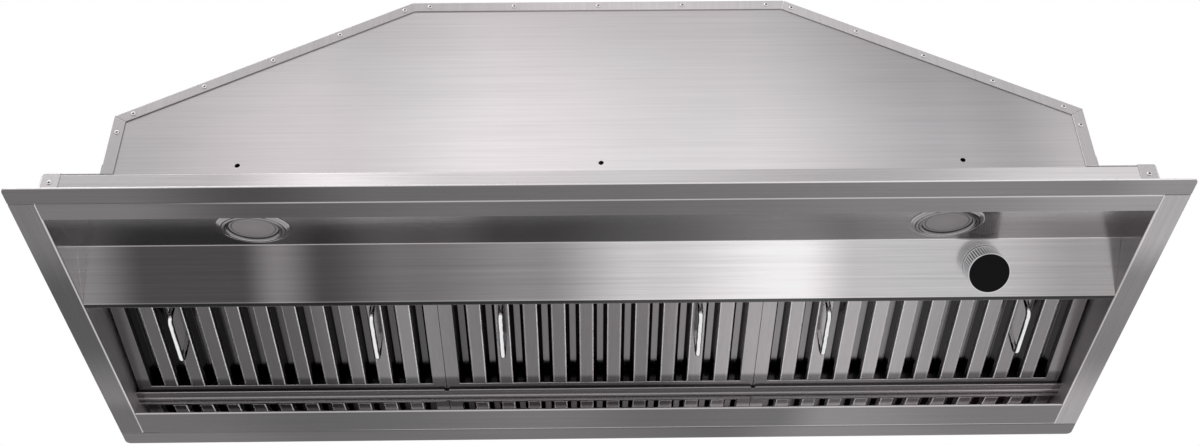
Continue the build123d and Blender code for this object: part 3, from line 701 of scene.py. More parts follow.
@dataclass(frozen=True)
class ZincSheet(GrainedFinish):
    """Galvanised sheet with its pattern of zinc crystals.

    Attributes:
        crystals: The crystals, as a layer of noise that is plain all over each of them.
    """

    grain: Layer = Layer(900.0, 0.08, 0.08)
    clouds: Layer = Layer(9.0, 0.12, detail=3.0)
    relief: float = 0.25
    depth: float = 0.00005
    metallic: float = 0.85
    crystals: Layer = Layer(1 / 0.009, 0.22, 0.16)

    def layers(self, shading: Shading, place: Signal) -> list[tuple[Signal, Layer]]:
        """Its layers of noise, the grain first and the crystals last."""
        crystals = shading.crystals(place, self.crystals.lumps) - 0.5
        return [*super().layers(shading, place), (crystals, self.crystals)]


STEEL: Colour = (0.650, 0.605, 0.615)
WARM_STEEL: Colour = (0.645, 0.595, 0.610)
# Places of folds and edges, in metres
PANEL_FOLD = -0.1057
FLANGE_FRONT = -0.2512
FRONT_WALL_INSIDE = -0.2252
REAR_WALL_INSIDE = 0.2248
SIDE_WALL_FACE = 0.5634
FLANGE = Limits(Axis.Z, high=0.002)
WALL = Limits(Axis.Z, low=0.002)
LIGHT_FACE = Limits(Axis.Y, high=PANEL_FOLD)
CONTROL_FACE = Limits(Axis.Y, low=PANEL_FOLD)


# Every stop below is a place in metres and the tone there; in the steel's colour these tones are painted
# light, shade and reflections
def toned(axis: Axis, *stops: tuple[float, float], within: Union[Limits, None] = None) -> Shade:
    """A tone that goes up and down along an axis, stop by stop."""
    return Shade(axis, stops, within)


# Painted reflections along the front panel, darker at its ends and towards its top, and faint painted
# highlights on its edges
FRONT_SHEET = BrushedSteel(
    "brushed_front_sheet",
    WARM_STEEL,
    0.32,
    painted_light=(
        toned(
            Axis.X,
            (-0.50, 0.53), (-0.28, 0.86), (-0.10, 1.14), (0.14, 1.04), (0.36, 0.66), (0.42, 0.60),
            (0.50, 0.78),
        ),
        toned(Axis.Z, (0.04, 1.05), (0.28, 0.76)),
    ),
    folds=Folds(gleam=0.1),
    streaks=0.24,
)
# Painted reflections along the front, painted shade on all but the front border, and painted highlights on
# the edges
WRAP_SHEET = BrushedSteel(
    "brushed_wrap_sheet",
    WARM_STEEL,
    0.32,
    Grain.UPRIGHT,
    (
        toned(Axis.X, (-0.5, 0.55), (-0.22, 0.62), (0.0, 0.9), (0.5, 0.76)),
        toned(Axis.Y, (-0.2262, 1.0), (-0.2252, 0.74)),
    ),
    folds=Folds(gleam=0.2),
    streaks=0.2,
)
# Faint painted highlights on the trims' folds and edges
TRIM = BrushedSteel("brushed_trim", STEEL, 0.29, folds=Folds(gleam=0.1), streaks=0.3)
# Painted reflections along the front flange and front wall, and a painted highlight on the flange's front
# edge
FRONT_TRIM = replace(
    TRIM,
    name="brushed_front_trim",
    painted_light=(
        toned(
            Axis.X,
            (-0.49, 0.26), (-0.35, 0.12), (-0.21, 0.25), (0.0, 0.28), (0.35, 0.39), (0.49, 0.38),
            (0.56, 0.5),
            within=FLANGE,
        ),
        toned(
            Axis.X,
            (-0.50, 0.63), (-0.40, 0.67), (-0.27, 1.27), (-0.14, 1.0), (0.0, 0.92), (0.28, 0.68),
            (0.49, 1.04),
            within=WALL,
        ),
    ),
    crease_highlights=(Crease(Axis.Y, FLANGE_FRONT, 0.9),),
)
# Painted reflections along the rear flange
REAR_TRIM = replace(
    TRIM,
    name="brushed_rear_trim",
    painted_light=(
        toned(
            Axis.X,
            (-0.49, 0.28), (-0.35, 0.22), (-0.07, 0.28), (0.14, 0.22), (0.28, 0.4), (0.49, 0.3),
            within=FLANGE,
        ),
    ),
)
SIDE_TRIM = replace(
    TRIM, grain=Grain.FRONT_TO_REAR, polish=(toned(Axis.Y, (-0.06, 0.5), (-0.04, 1.7), within=WALL),)
)
# Painted reflections along the left flange and wall, painted shade on the wall's outer face, and a painted
# highlight on its fold
LEFT_TRIM = replace(
    SIDE_TRIM,
    name="brushed_left_trim",
    painted_light=(
        toned(Axis.Y, (-0.18, 0.31), (-0.07, 0.15), (0.02, 0.15), (0.14, 0.32), (0.18, 0.22), within=FLANGE),
        toned(Axis.Y, (-0.2272, 0.85), (-0.226, 1.3), (-0.06, 1.4), (0.0, 0.9), within=WALL),
        toned(Axis.X, (-0.5636, 0.4), (-0.5628, 1.0), within=WALL),
    ),
    crease_highlights=(Crease(Axis.X, -SIDE_WALL_FACE, 0.8, 0.0007),),
)
# Painted reflections along the right flange, painted shade on the front of the wall, and a painted highlight
# on its fold
RIGHT_TRIM = replace(
    SIDE_TRIM,
    name="brushed_right_trim",
    painted_light=(
        toned(Axis.Y, (-0.16, 0.75), (-0.08, 0.40), (0.06, 0.35), (0.18, 0.65), within=FLANGE),
        toned(Axis.Y, (-0.2272, 0.8), (-0.226, 0.3), (-0.11, 0.3), (-0.05, 0.5), (0.05, 0.7), within=WALL),
        toned(Axis.X, (0.5628, 1.0), (0.5636, 0.95), within=WALL),
    ),
    crease_highlights=(Crease(Axis.X, SIDE_WALL_FACE, 0.5, 0.0007),),
)
# Painted reflections along the front lip, and a painted highlight on its inner fold that fades out to the
# left
FRONT_LIP = replace(
    TRIM,
    name="brushed_front_lip",
    painted_light=(
        toned(Axis.X, (-0.49, 0.32), (-0.35, 0.16), (-0.14, 0.27), (0.0, 0.25), (0.35, 0.41), (0.54, 0.6)),
    ),
    crease_highlights=(Crease(Axis.Y, FRONT_WALL_INSIDE, 0.6, 0.0006, Limits(Axis.X, low=-0.38, blur=0.08)),),
    folds=Folds(gleam=0.15),
)
# Painted reflections along the rear flange, and painted highlights on two of its folds, one fading out to the
# left
REAR_LIP = replace(
    TRIM,
    name="brushed_rear_lip",
    roughness=0.22,
    painted_light=(
        toned(
            Axis.X,
            (-0.49, 0.22), (-0.35, 0.18), (-0.07, 0.28), (0.07, 0.22), (0.21, 0.25), (0.28, 0.44),
            (0.49, 0.3),
            within=FLANGE,
        ),
    ),
    polish=(toned(Axis.Z, (0.001, 1.0), (0.004, 0.1)),),
    crease_highlights=(
        Crease(Axis.Y, REAR_WALL_INSIDE, 1.1, 0.0010, Limits(Axis.X, low=-0.28, blur=0.08)),
        Crease(Axis.Y, 0.1812, 0.6, 0.0007),
    ),
    folds=Folds(gleam=0.2),
)
# Painted shade and reflection: the ledge is toned dark, lighter to the right, with painted highlights on its
# two folds and edges
LEDGE = BrushedSteel(
    "brushed_ledge",
    STEEL,
    0.2,
    painted_light=(toned(Axis.X, (-0.5, 0.12), (0.0, 0.145), (0.5, 0.2)),),
    crease_highlights=(Crease(Axis.Y, 0.1676, 0.4, 0.0006), Crease(Axis.Y, 0.1796, 0.5, 0.0006)),
    folds=Folds(gleam=0.2),
)
# Painted reflections along the lamp face and control face, painted shade on the hem below the control face,
# and painted highlights on the ridge and the lower edge
LAMP_SHEET = BrushedSteel(
    "brushed_lamp_sheet",
    STEEL,
    0.17,
    painted_light=(
        toned(
            Axis.X,
            (-0.56, 0.28), (-0.50, 0.19), (-0.40, 0.17), (-0.31, 0.25), (-0.24, 0.54), (-0.17, 0.46),
            (-0.1, 0.16), (0.0, 0.12), (0.2, 0.25), (0.36, 0.53), (0.45, 0.72),
            within=LIGHT_FACE,
        ),
        toned(
            Axis.X,
            (-0.56, 0.4), (-0.49, 0.12), (-0.39, 0.12), (-0.35, 0.36), (-0.30, 0.12), (-0.21, 0.28),
            (-0.07, 0.46), (0.05, 1.05), (0.21, 1.6), (0.28, 0.96), (0.42, 0.9), (0.52, 0.6),
            within=CONTROL_FACE,
        ),
        toned(Axis.Y, (-0.0505, 1.0), (-0.0498, 0.08)),
    ),
    crease_highlights=(Crease(Axis.Y, -0.1060, 0.4), Crease(Axis.Y, -0.0510, 0.25, 0.0004)),
    folds=Folds(gleam=0.3),
    line_depth=0.00006,
)
# Painted reflections along the filters, darkest on the left and brightest right of the middle
FILTER_PAINTED_LIGHT = toned(
    Axis.X,
    (-0.50, 0.21), (-0.36, 0.2), (-0.23, 0.42), (-0.08, 0.3), (0.05, 0.34), (0.15, 0.66), (0.32, 0.74),
    (0.42, 0.55), (0.52, 0.42),
)
# Painted shade near the baffles' rear ends, paler painted light on their upstands, and painted highlights on
# folds that face the middle
FILTER_SHEET = BrushedSteel(
    "filter_sheet",
    WARM_STEEL,
    0.2,
    Grain.FRONT_TO_REAR,
    (FILTER_PAINTED_LIGHT, toned(Axis.Y, (0.142, 1.0), (0.150, 0.45))),
    folds=Folds(0.0023, 1.6, Gleaming.TO_MIDDLE),
    upstand_light=0.4,
    upstand_dullness=0.3,
    streaks=0.2,
    graze=0.3,
)
# The frame keeps that painted light, with painted highlights only on folds that run along the front
FILTER_FRAME = replace(FILTER_SHEET, name="filter_frame", folds=Folds(0.0015, 0.8, Gleaming.ALONG_FRONT))
# Painted shade: the upper baffles are toned dark as if in shade inside the filter, their sideways faces
# darker still
CAP_SHEET = BrushedSteel(
    "filter_cap_sheet",
    WARM_STEEL,
    0.14,
    Grain.FRONT_TO_REAR,
    (toned(Axis.X, (-0.5, 0.12), (-0.2, 0.16), (-0.05, 0.3), (0.15, 0.42), (0.45, 0.34)),),
    folds=Folds(gleam=0.0),
    upstand_light=-1.8,
    streaks=0.2,
    graze=0.1,
)
# Painted highlights on the rail's folds and edges
RAIL = BrushedSteel("brushed_rail", STEEL, 0.26)
# Painted reflection: the handle rods darken on their flanks
CHROME = ChromePlate("handle_chrome_plate", (0.90, 0.90, 0.91), 0.05)
LAMP_AXLE: Place = (0.0, 0.2412, -0.9705)
LAMP_CENTRES: Mapping[str, Place] = {"left": (-0.3635, -0.1508, 0.0274), "right": (0.3635, -0.1508, 0.0274)}
# Painted shade in the lamp trim's grooves and painted highlights on its steps, by distance from the lamp's
# axle
RING_LIGHT_AND_SHADE: Stops = (
    (0.0262, 0.3), (0.0270, 0.42), (0.0288, 0.36), (0.0296, 0.1), (0.0303, 0.85), (0.0309, 0.42),
    (0.0328, 0.4), (0.0334, 0.14), (0.0341, 0.9), (0.0349, 0.5), (0.0374, 0.5), (0.0385, 0.7),
)
# Painted shade in the groove round the lamp glass, with slight changes of tone elsewhere, by distance from
# the axle
GLASS_GROOVE_SHADE: Stops = (
    (0.0, 1.04), (0.018, 0.94), (0.0221, 0.98), (0.0226, 0.12), (0.0233, 0.9), (0.0256, 1.1),
)


def for_each_lamp(finish: GrainedFinish, stops: Stops) -> dict[str, GrainedFinish]:
    """The finish for the lamp on each side, with rings round that lamp's own axle."""
    return {
        side: replace(finish, name=finish.name.format(side), rings=Rings(centre, LAMP_AXLE, stops))
        for side, centre in LAMP_CENTRES.items()
    }


LAMP_METALS = for_each_lamp(PolishedMetal("spun_lamp_{}_ring", (0.62, 0.60, 0.61), 0.16), RING_LIGHT_AND_SHADE)
LAMP_LENSES = for_each_lamp(FrostedGlass("etched_{}_glass", (0.41, 0.38, 0.39), 0.5), GLASS_GROOVE_SHADE)
LAMP_CAN = PolishedMetal("drawn_lamp_can", (0.66, 0.66, 0.67), 0.30)
# Painted shade: the knob's flute valleys are toned dark, by distance from its axle
KNOB_METAL = PolishedMetal(
    "turned_knob_metal",
    (0.86, 0.86, 0.87),
    0.32,
    rings=Rings((0.415, -0.0806, 0.0213), (0.0, -0.5671, -0.8237), ((0.0214, 0.0), (0.0221, 1.0))),
)
SHAFT = PolishedMetal("ground_shaft", (0.62, 0.62, 0.62), 0.18)
BRASS = PolishedMetal("turned_brass", (0.72, 0.52, 0.22), 0.25)
FASTENER = PolishedMetal("rivet_metal", (0.66, 0.64, 0.65), 0.25)
SEAM_WELD = PolishedMetal("seam_weld", (0.20, 0.19, 0.19), 0.45)
# Painted shade: the bottom of each rivet's or screw's pit is near black
PIT_SHADE = PolishedMetal("rivet_pit_shade", (0.05, 0.05, 0.05), 0.5)
ZINC = ZincSheet("zinc_sheet", (0.58, 0.60, 0.61), 0.38)
WHEEL = ZincSheet("zinc_wheel_strip", (0.60, 0.61, 0.62), 0.34, crystals=Layer(200.0, 0.12, 0.16))
DAMPER = ZincSheet("damper_sheet", (0.66, 0.66, 0.67), 0.30, crystals=Layer(50.0, 0.06, 0.16))
MOTOR = EnamelledShell("motor_enamel", (0.03, 0.03, 0.034), 0.42)
KNOB_FACE = MouldedPlastic("knob_face_black", (0.006, 0.006, 0.006), 0.5, shine=0.08)
SWITCH = MouldedPlastic("switch_black", (0.02, 0.02, 0.02), 0.5)
DRIVER = MouldedPlastic("driver_white", (0.70, 0.70, 0.68), 0.5)


class Wardrobe:
    """Makes each finish's material once and lays it on nodes and pieces."""

    def __init__(self, nodes: Mapping[str, bpy.types.Object]) -> None:
        """Keep the nodes that can be dressed.

        Args:
            nodes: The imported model's nodes by name.
        """
        self.nodes = nodes
        self.made: dict[str, bpy.types.Material] = {}
        self.dressed: set[str] = set()

    def material(self, finish: Finish) -> bpy.types.Material:
        """The finish's material, made the first time that it is asked for."""
        if finish.name not in self.made:
            self.made[finish.name] = finish.dress()
        return self.made[finish.name]

    def dress(self, finish: Finish, *names: str) -> None:
        """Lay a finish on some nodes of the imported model.

        Args:
            finish: The finish.
            names: The nodes.
        """
        for name in names:
            for slot in self.nodes[name].material_slots:
                slot.material = self.material(finish)
            self.dressed.add(name)
            log.info("node %s wears %s", name, finish.name)

    def bare(self) -> list[str]:
        """The nodes that no finish has been laid on."""
        return sorted(set(self.nodes) - self.dressed)


# ---------------------------------------------------------------- small pieces
class SmallPiece:
    """Gathers the points and faces of one small piece, in metres, in the hood's own frame."""

    def __init__(self) -> None:
        """Start with no points."""
        self.mesh = bmesh.new()

    def _loops(self, rings: Sequence[Ring], place: Matrix) -> list[list[bmesh.types.BMVert]]:
        """Add rings of points and join each to the next by faces.

        Args:
            rings: Rings with equal numbers of points.
            place: Carries the rings to their place on the hood.

        Returns:
            The points, ring by ring.
        """
        loops = [[self.mesh.verts.new(place @ point) for point in ring] for ring in rings]
        for lower, upper in zip(loops, loops[1:]):
            self._join(lower, upper)
        return loops

    def _join(self, lower: list[bmesh.types.BMVert], upper: list[bmesh.types.BMVert]) -> None:
        """Lay faces between two rings of points."""
        for index, corner in enumerate(lower):
            following = (index + 1) % len(lower)
            self.mesh.faces.new((corner, lower[following], upper[following], upper[index]))

    def loft(self, rings: Sequence[Ring], place: Matrix) -> None:
        """Join rings of points by faces and close both ends, the last one in the second finish.

        Args:
            rings: Rings with equal numbers of points, from the foot to the middle of the head.
            place: Carries the rings to their place on the hood.
        """
        loops = self._loops(rings, place)
        self.mesh.faces.new(loops[0][::-1])
        self.mesh.faces.new(loops[-1]).material_index = 1

    def hoop(self, rings: Sequence[Ring], place: Matrix) -> None:
        """Join rings of points, once round the section of a hoop, and the last ring to the first."""
        loops = self._loops(rings, place)
        self._join(loops[-1], loops[0])

    def build(
        self, name: str, finishes: Iterable[bpy.types.Material], body: str, slot: str
    ) -> bpy.types.Object:
        """Make the piece's object and set it on its body.

        Args:
            name: The piece's name.
            finishes: Its materials.
            body: The body that it moves with.
            slot: The name of one of the record's material slots; not used.

        Returns:
            The piece.
        """
        data = bpy.data.meshes.new(name)
        bmesh.ops.recalc_face_normals(self.mesh, faces=self.mesh.faces)
        self.mesh.to_mesh(data)
        self.mesh.free()
        for finish in finishes:
            data.materials.append(finish)
        data.shade_smooth()
        data.set_sharp_from_angle(angle=math.radians(SHARP_DEGREES))
        piece = bpy.data.objects.new(name, data)
        bpy.context.collection.objects.link(piece)
        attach(piece, body)
        log.info("piece %s rides on %s, %d faces", name, body, len(data.polygons))
        return piece


def ring(radius: float, height: float, points: int) -> Ring:
    """Points spaced evenly round the Z axis at one radius and height, in metres."""
    turns = [math.tau * index / points for index in range(points)]
    return [Vector((radius * math.cos(turn), radius * math.sin(turn), height)) for turn in turns]


def seated(place: Place, faces: Place) -> Matrix:
    """Carry the Z axis to a place where it looks in a given direction."""
    return Matrix.Translation(place) @ Vector(faces).to_track_quat("Z", "Y").to_matrix().to_4x4()


@dataclass(frozen=True)
class Fastener:
    """A rivet's or screw's head.

    Attributes:
        profile: Radius and height of each step from its foot to the rim of its middle.
        drive: What its middle looks like.
        reach: Radius of its middle.
        sunk: How deep its middle is.
        points: Points round the head.
        arm: Half the width of a cross's arm, as a share of the middle's radius.
        taper: Radius of the bottom of the middle, as a share of its top.
    """

    profile: Section
    drive: Drive
    reach: float
    sunk: float
    points: int = 24
    arm: float = 0.27
    taper: float = 0.8

    def _cross(self, reach: float, height: float) -> Ring:
        """Points round a cross.

        Args:
            reach: From the middle to an arm's end.
            height: The height of the points.

        Returns:
            As many points as a ring has.
        """
        cross = []
        half_arm = reach * self.arm
        for point in ring(1.0, height, self.points):
            long, short = sorted((abs(point.x), abs(point.y)), reverse=True)
            radius = reach / long if reach * short <= half_arm * long else half_arm / short
            cross.append(Vector((point.x * radius, point.y * radius, height)))
        return cross

    def _middle(self, reach: float, height: float) -> Ring:
        """Points round the head's middle."""
        if self.drive is Drive.CROSS:
            return self._cross(reach, height)
        return ring(reach, height, self.points)

    def rings(self) -> list[Ring]:
        """Every ring from the foot to the bottom of the middle."""
        top = self.profile[-1][1]
        outer = [ring(radius, height, self.points) for radius, height in self.profile]
        pit = self._middle(self.reach * self.taper, top - self.sunk)
        return outer + [self._middle(self.reach, top), pit]


POP_RIVET = Fastener(
    ((0.0027, 0.0), (0.0027, 0.0003), (0.0024, 0.0008), (0.0017, 0.0011)), Drive.PIT, 0.0013, 0.0008
)
PAN_SCREW = Fastener(
    ((0.0036, 0.0), (0.0036, 0.0008), (0.0031, 0.0016), (0.0022, 0.0021)), Drive.CROSS, 0.0018, 0.0011
)


@dataclass
class SubAssembly:
    """What every sub-assembly has: finishes for its nodes and small pieces of its own.

    Attributes:
        wardrobe: Makes the finishes and knows the nodes.
    """

    wardrobe: Wardrobe

    def fasten(self, name: str, fastener: Fastener, fixings: Iterable[Fixing]) -> None:
        """Set one kind of fastener in several places, as one piece.

        Args:
            name: The piece's name.
            fastener: The kind of head.
            fixings: Where each head sits and the direction in which it looks.
        """
        piece = SmallPiece()
        for fixing in fixings:
            piece.loft(fastener.rings(), seated(*fixing))
        # The pits' bottoms take the painted shade
        finishes = [self.wardrobe.material(finish) for finish in (FASTENER, PIT_SHADE)]
        piece.build(name, finishes, "hood", "shaft_steel")


@dataclass
class LowerBox(SubAssembly):
    """Trim flanges, walls, lips and the filter ledge.

    Attributes:
        ear_x: Middle of a corner ear, from the hood's middle.
        ear_face: Outer face of the ears, from the hood's middle.
        front_heights: Heights of the rivets in a front ear.
        rear_heights: Heights of the rivets in a rear ear.
        leg_face: Outer face of the shoulders' upstands.
        leg_height: Height of the rivets in them.
        leg_reach: The furthest of those rivets to the front and rear.
        weld_ends: Inner and outer end of the weld in each corner of the flange, from the hood's middle.
        weld_section: Places front to rear and up, once round the section of a front weld.
    """

    ear_x: float = 0.5543
    ear_face: float = 0.2272
    front_heights: tuple[float, ...] = (0.027,)
    rear_heights: tuple[float, ...] = (0.027, 0.062)
    leg_face: float = 0.5062
    leg_height: float = 0.086
    leg_reach: float = 0.150
    weld_ends: tuple[float, float] = (0.5639, 0.5894)
    weld_section: Section = (
        (-0.22562, 0.00042), (-0.22562, 0.00112), (-0.22612, 0.00112), (-0.22640, 0.00075),
        (-0.22672, 0.00050), (-0.22655, 0.00036), (-0.22600, 0.00030),
    )

    def build(self) -> None:
        """Dress the box's nodes and rivet its ears and shoulders."""
        for finish, node in (
            (FRONT_TRIM, "front_wall"),
            (REAR_TRIM, "rear_wall"),
            (LEFT_TRIM, "side_wall_left"),
            (RIGHT_TRIM, "side_wall_right"),
            (FRONT_LIP, "front_lip"),
            (REAR_LIP, "rear_lip"),
            (LEDGE, "rear_ledge"),
            (RAIL, "filter_front_rail"),
            (WRAP_SHEET, "shoulder_left"),
            (WRAP_SHEET, "shoulder_right"),
        ):
            self.wardrobe.dress(finish, node)
        self.fasten("corner_ear_rivets", POP_RIVET, self._ear_fixings())
        self.fasten("shoulder_rivets", POP_RIVET, self._leg_fixings())
        self._weld_corners()

    def _weld_corners(self) -> None:
        """Close the open line between the flanges in each corner with a weld."""
        welds = SmallPiece()
        inner, outer = self.weld_ends
        for way in WAYS:
            for end in WAYS:
                section = [(-end * y, z) for y, z in self.weld_section]
                rings = [[Vector((way * x, y, z)) for y, z in section] for x in (inner, outer)]
                welds.loft(rings, Matrix.Identity(4))
        bead = self.wardrobe.material(SEAM_WELD)
        welds.build("flange_corner_welds", [bead, bead], "hood", "trim_steel")

    def _ear_fixings(self) -> Iterable[Fixing]:
        """Places on the four corner ears."""
        for end, heights in zip(WAYS, (self.front_heights, self.rear_heights)):
            for way in WAYS:
                for height in heights:
                    yield (way * self.ear_x, end * self.ear_face, height), (0, end, 0)

    def _leg_fixings(self) -> Iterable[Fixing]:
        """Places on the shoulders' upstands, which lap on the housing's sides."""
        for way in WAYS:
            for step in (-1, 0, 1):
                yield (way * self.leg_face, step * self.leg_reach, self.leg_height), (way, 0, 0)


@dataclass
class Housing(SubAssembly):
    """The tapered upper housing and its riveted borders.

    Attributes:
        side_x: Outer face of its sides.
        apex_x: Where its slopes meet its top.
        eave: Height at which its slopes start.
        top: Height of its top.
        face: Outer face of its borders.
        border: Width of its borders.
        slope_ends: The first and last rivet along a slope.
        slope_count: Rivets along a slope.
        top_reach: The outermost rivet along the top.
        top_count: Rivets along the top.
        strip_height: Height of the rivet beside each upright edge.
    """

    side_x: float = 0.505
    apex_x: float = 0.206
    eave: float = 0.116
    top: float = 0.281
    face: float = 0.2272
    border: float = 0.0125
    slope_ends: tuple[float, float] = (0.2138, 0.4862)
    slope_count: int = 5
    top_reach: float = 0.1863
    top_count: int = 5
    strip_height: float = 0.0935

    def build(self) -> None:
        """Dress the housing's nodes and rivet its borders."""
        self.wardrobe.dress(FRONT_SHEET, "hood_front_panel", "hood_rear_panel")
        self.wardrobe.dress(WRAP_SHEET, "hood_side_left", "hood_side_right")
        self.wardrobe.dress(WRAP_SHEET, "hood_slope_left", "hood_slope_right", "hood_top")
        for end, side in zip(WAYS, ("front", "rear")):
            self.fasten(f"housing_{side}_rivets", POP_RIVET, self._border_fixings(end))

    def _border_fixings(self, end: int) -> Iterable[Fixing]:
        """Places along the border of the front or rear panel.

        Args:
            end: -1 for the front, 1 for the rear.

        Yields:
            Each place.
        """
        fall = (self.top - self.eave) / (self.side_x - self.apex_x)
        inset = self.border / 2
        inner, outer = self.slope_ends
        for way in WAYS:
            yield (way * (self.side_x - inset), end * self.face, self.strip_height), (0, end, 0)
            for step in range(self.slope_count):
                x = inner + (outer - inner) * step / (self.slope_count - 1)
                z = self.top - (x - self.apex_x) * fall - inset * math.hypot(1, fall)
                yield (way * x, end * self.face, z), (0, end, 0)
        for step in range(self.top_count):
            x = self.top_reach * (2 * step / (self.top_count - 1) - 1)
            yield (x, end * self.face, self.top - inset), (0, end, 0)


@dataclass
class LampPanel(SubAssembly):
    """The folded lamp and control sheet, the lamps and the speed knob.

    Attributes:
        lamp_points: Points round a lamp's trim and glass.
        trim_section: Radius and height once round the section of the trim, which reaches into its hole.
        glass_section: Radius and height of the glass, from its back to the middle of its face.
    """

    lamp_points: int = 96
    trim_section: Section = (
        (0.0390, 0.0), (0.0390, 0.0007), (0.0386, 0.0011), (0.0372, 0.0014), (0.0346, 0.0024),
        (0.0341, 0.0025), (0.0337, 0.0018), (0.0332, 0.0018), (0.0328, 0.0029), (0.0308, 0.0030),
        (0.0303, 0.0030), (0.0299, 0.0021), (0.0294, 0.0021), (0.0290, 0.0028), (0.0272, 0.0024),
        (0.0266, 0.0021), (0.0262, 0.0006), (0.0262, -0.0020), (0.0240, -0.0020), (0.0240, -0.0032),
        (0.0315, -0.0032), (0.0315, -0.0140), (0.0327, -0.0140), (0.0327, 0.0),
    )
    glass_section: Section = (
        (0.0240, -0.0020), (0.0258, -0.0018), (0.0258, 0.0001), (0.0254, 0.0006), (0.0233, 0.0006),
        (0.0230, -0.0001), (0.0225, -0.0001), (0.0222, 0.0004), (0.0160, 0.0008), (0.0080, 0.0010),
    )

    def build(self) -> None:
        """Dress the panel's and knob's nodes and fit the lamps' trims and glasses."""
        self.wardrobe.dress(LAMP_SHEET, "lamp_control_panel")
        for side in LAMP_CENTRES:
            self._lamp(side)
            self.wardrobe.dress(LAMP_CAN, f"lamp_{side}_can")
        self.wardrobe.dress(KNOB_METAL, "knob_grip")
        self.wardrobe.dress(KNOB_FACE, "knob_cap")
        self.wardrobe.dress(SHAFT, "knob_spindle")
        self.wardrobe.dress(SWITCH, "speed_switch")
        self.wardrobe.dress(BRASS, "switch_nut")

    def _lamp(self, side: str) -> None:
        """Fit one lamp's stepped trim and etched glass in place of its plain nodes.

        Args:
            side: Which lamp.
        """
        spun, etched = LAMP_METALS[side], LAMP_LENSES[side]
        seat = seated(spun.rings.centre, spun.rings.axle)
        trim = SmallPiece()
        trim.hoop([ring(*step, self.lamp_points) for step in self.trim_section], seat)
        glass = SmallPiece()
        glass.loft([ring(*step, self.lamp_points) for step in self.glass_section], seat)
        metal, lens = self.wardrobe.material(spun), self.wardrobe.material(etched)
        made = {
            "bezel": trim.build(f"lamp_{side}_trim", [metal], "hood", "lamp_metal"),
            "lens": glass.build(f"lamp_{side}_glass", [lens, lens], "hood", "lamp_lens"),
        }
        for part, piece in made.items():
            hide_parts(f"lamp_{side}_{part}")
            self.wardrobe.dressed.add(f"lamp_{side}_{part}")


@dataclass
class Filters(SubAssembly):
    """Three baffle filters with their handles.

    Attributes:
        sides: The filters from left to right.
    """

    sides: tuple[str, ...] = ("left", "centre", "right")

    def build(self) -> None:
        """Dress the filters' nodes."""
        for side in self.sides:
            self.wardrobe.dress(FILTER_FRAME, f"filter_{side}_frame")
            self.wardrobe.dress(FILTER_SHEET, f"filter_{side}_lower_baffles")
            self.wardrobe.dress(CAP_SHEET, f"filter_{side}_upper_baffles")
            self.wardrobe.dress(CHROME, f"filter_{side}_handle_left", f"filter_{side}_handle_right")


@dataclass
class Blower(SubAssembly):
    """The centrifugal blower, its motor and the screws that hold them.

    Attributes:
        axis_y: The shaft's place, from the hood's middle to the rear.
        axis_z: Its height.
        spider_face: Outer face of the spider.
        arm_radius: From the shaft to the screws in the spider's arms.
        arms: How many arms the spider has.
    """

    axis_y: float = -0.0755
    axis_z: float = 0.1872
    spider_face: float = 0.0782
    arm_radius: float = 0.069
    arms: int = 3

    def build(self) -> None:
        """Dress the blower's nodes and screw its spider down."""
        self.wardrobe.dress(ZINC, "blower_scroll", "blower_side_left", "blower_side_right", "motor_spider")
        self.wardrobe.dress(WHEEL, "blower_wheel")
        self.wardrobe.dress(SHAFT, "motor_shaft")
        self.wardrobe.dress(MOTOR, "blower_motor")
        self.fasten("spider_screws", PAN_SCREW, self._spider_fixings())

    def _spider_fixings(self) -> Iterable[Fixing]:
        """Places at the ends of the spider's arms."""
        for arm in range(self.arms):
            turn = math.tau * (0.25 + arm / self.arms)
            y = self.axis_y + self.arm_radius * math.cos(turn)
            z = self.axis_z + self.arm_radius * math.sin(turn)
            yield (self.spider_face, y, z), (1, 0, 0)


@dataclass
class Duct(SubAssembly):
    """The duct collar, its flange screws and the backdraft damper.

    Attributes:
        flange_top: Height of the collar's flange.
        screw_radius: From the collar's middle to its screws.
        screw_count: How many screws the flange has.
    """

    flange_top: float = 0.2822
    screw_radius: float = 0.1085
    screw_count: int = 8

    def build(self) -> None:
        """Dress the duct's nodes and screw its flange down."""
        self.wardrobe.dress(ZINC, "duct_collar")
        self.wardrobe.dress(SHAFT, "damper_rod")
        self.wardrobe.dress(DAMPER, "damper_flap_front", "damper_flap_rear")
        self.fasten("collar_screws", PAN_SCREW, self._flange_fixings())

    def _flange_fixings(self) -> Iterable[Fixing]:
        """Places round the collar's flange."""
        for index in range(self.screw_count):
            turn = math.tau * (index + 0.5) / self.screw_count
            x = self.screw_radius * math.cos(turn)
            y = self.screw_radius * math.sin(turn)
            yield (x, y, self.flange_top), (0, 0, 1)


@dataclass
class Wiring(SubAssembly):
    """The junction box with its lid screws, and the lamp driver.

    Attributes:
        lid_face: Outer face of the lid.
        lid_centre: Middle of the lid, along the front and up.
        screw_reach: From there to its screws, along the front and up.
    """

    lid_face: float = 0.1733
    lid_centre: tuple[float, float] = (-0.300, 0.130)
    screw_reach: tuple[float, float] = (0.044, 0.024)

    def build(self) -> None:
        """Dress the wiring boxes' nodes and screw the lid on."""
        self.wardrobe.dress(ZINC, "junction_box", "junction_box_lid")
        self.wardrobe.dress(DRIVER, "lamp_driver")
        self.fasten("lid_screws", PAN_SCREW, self._lid_fixings())

    def _lid_fixings(self) -> Iterable[Fixing]:
        """Places at the lid's four corners."""
        for way in WAYS:
            for up in WAYS:
                x = self.lid_centre[0] + way * self.screw_reach[0]
                z = self.lid_centre[1] + up * self.screw_reach[1]
                yield (x, self.lid_face, z), (0, -1, 0)


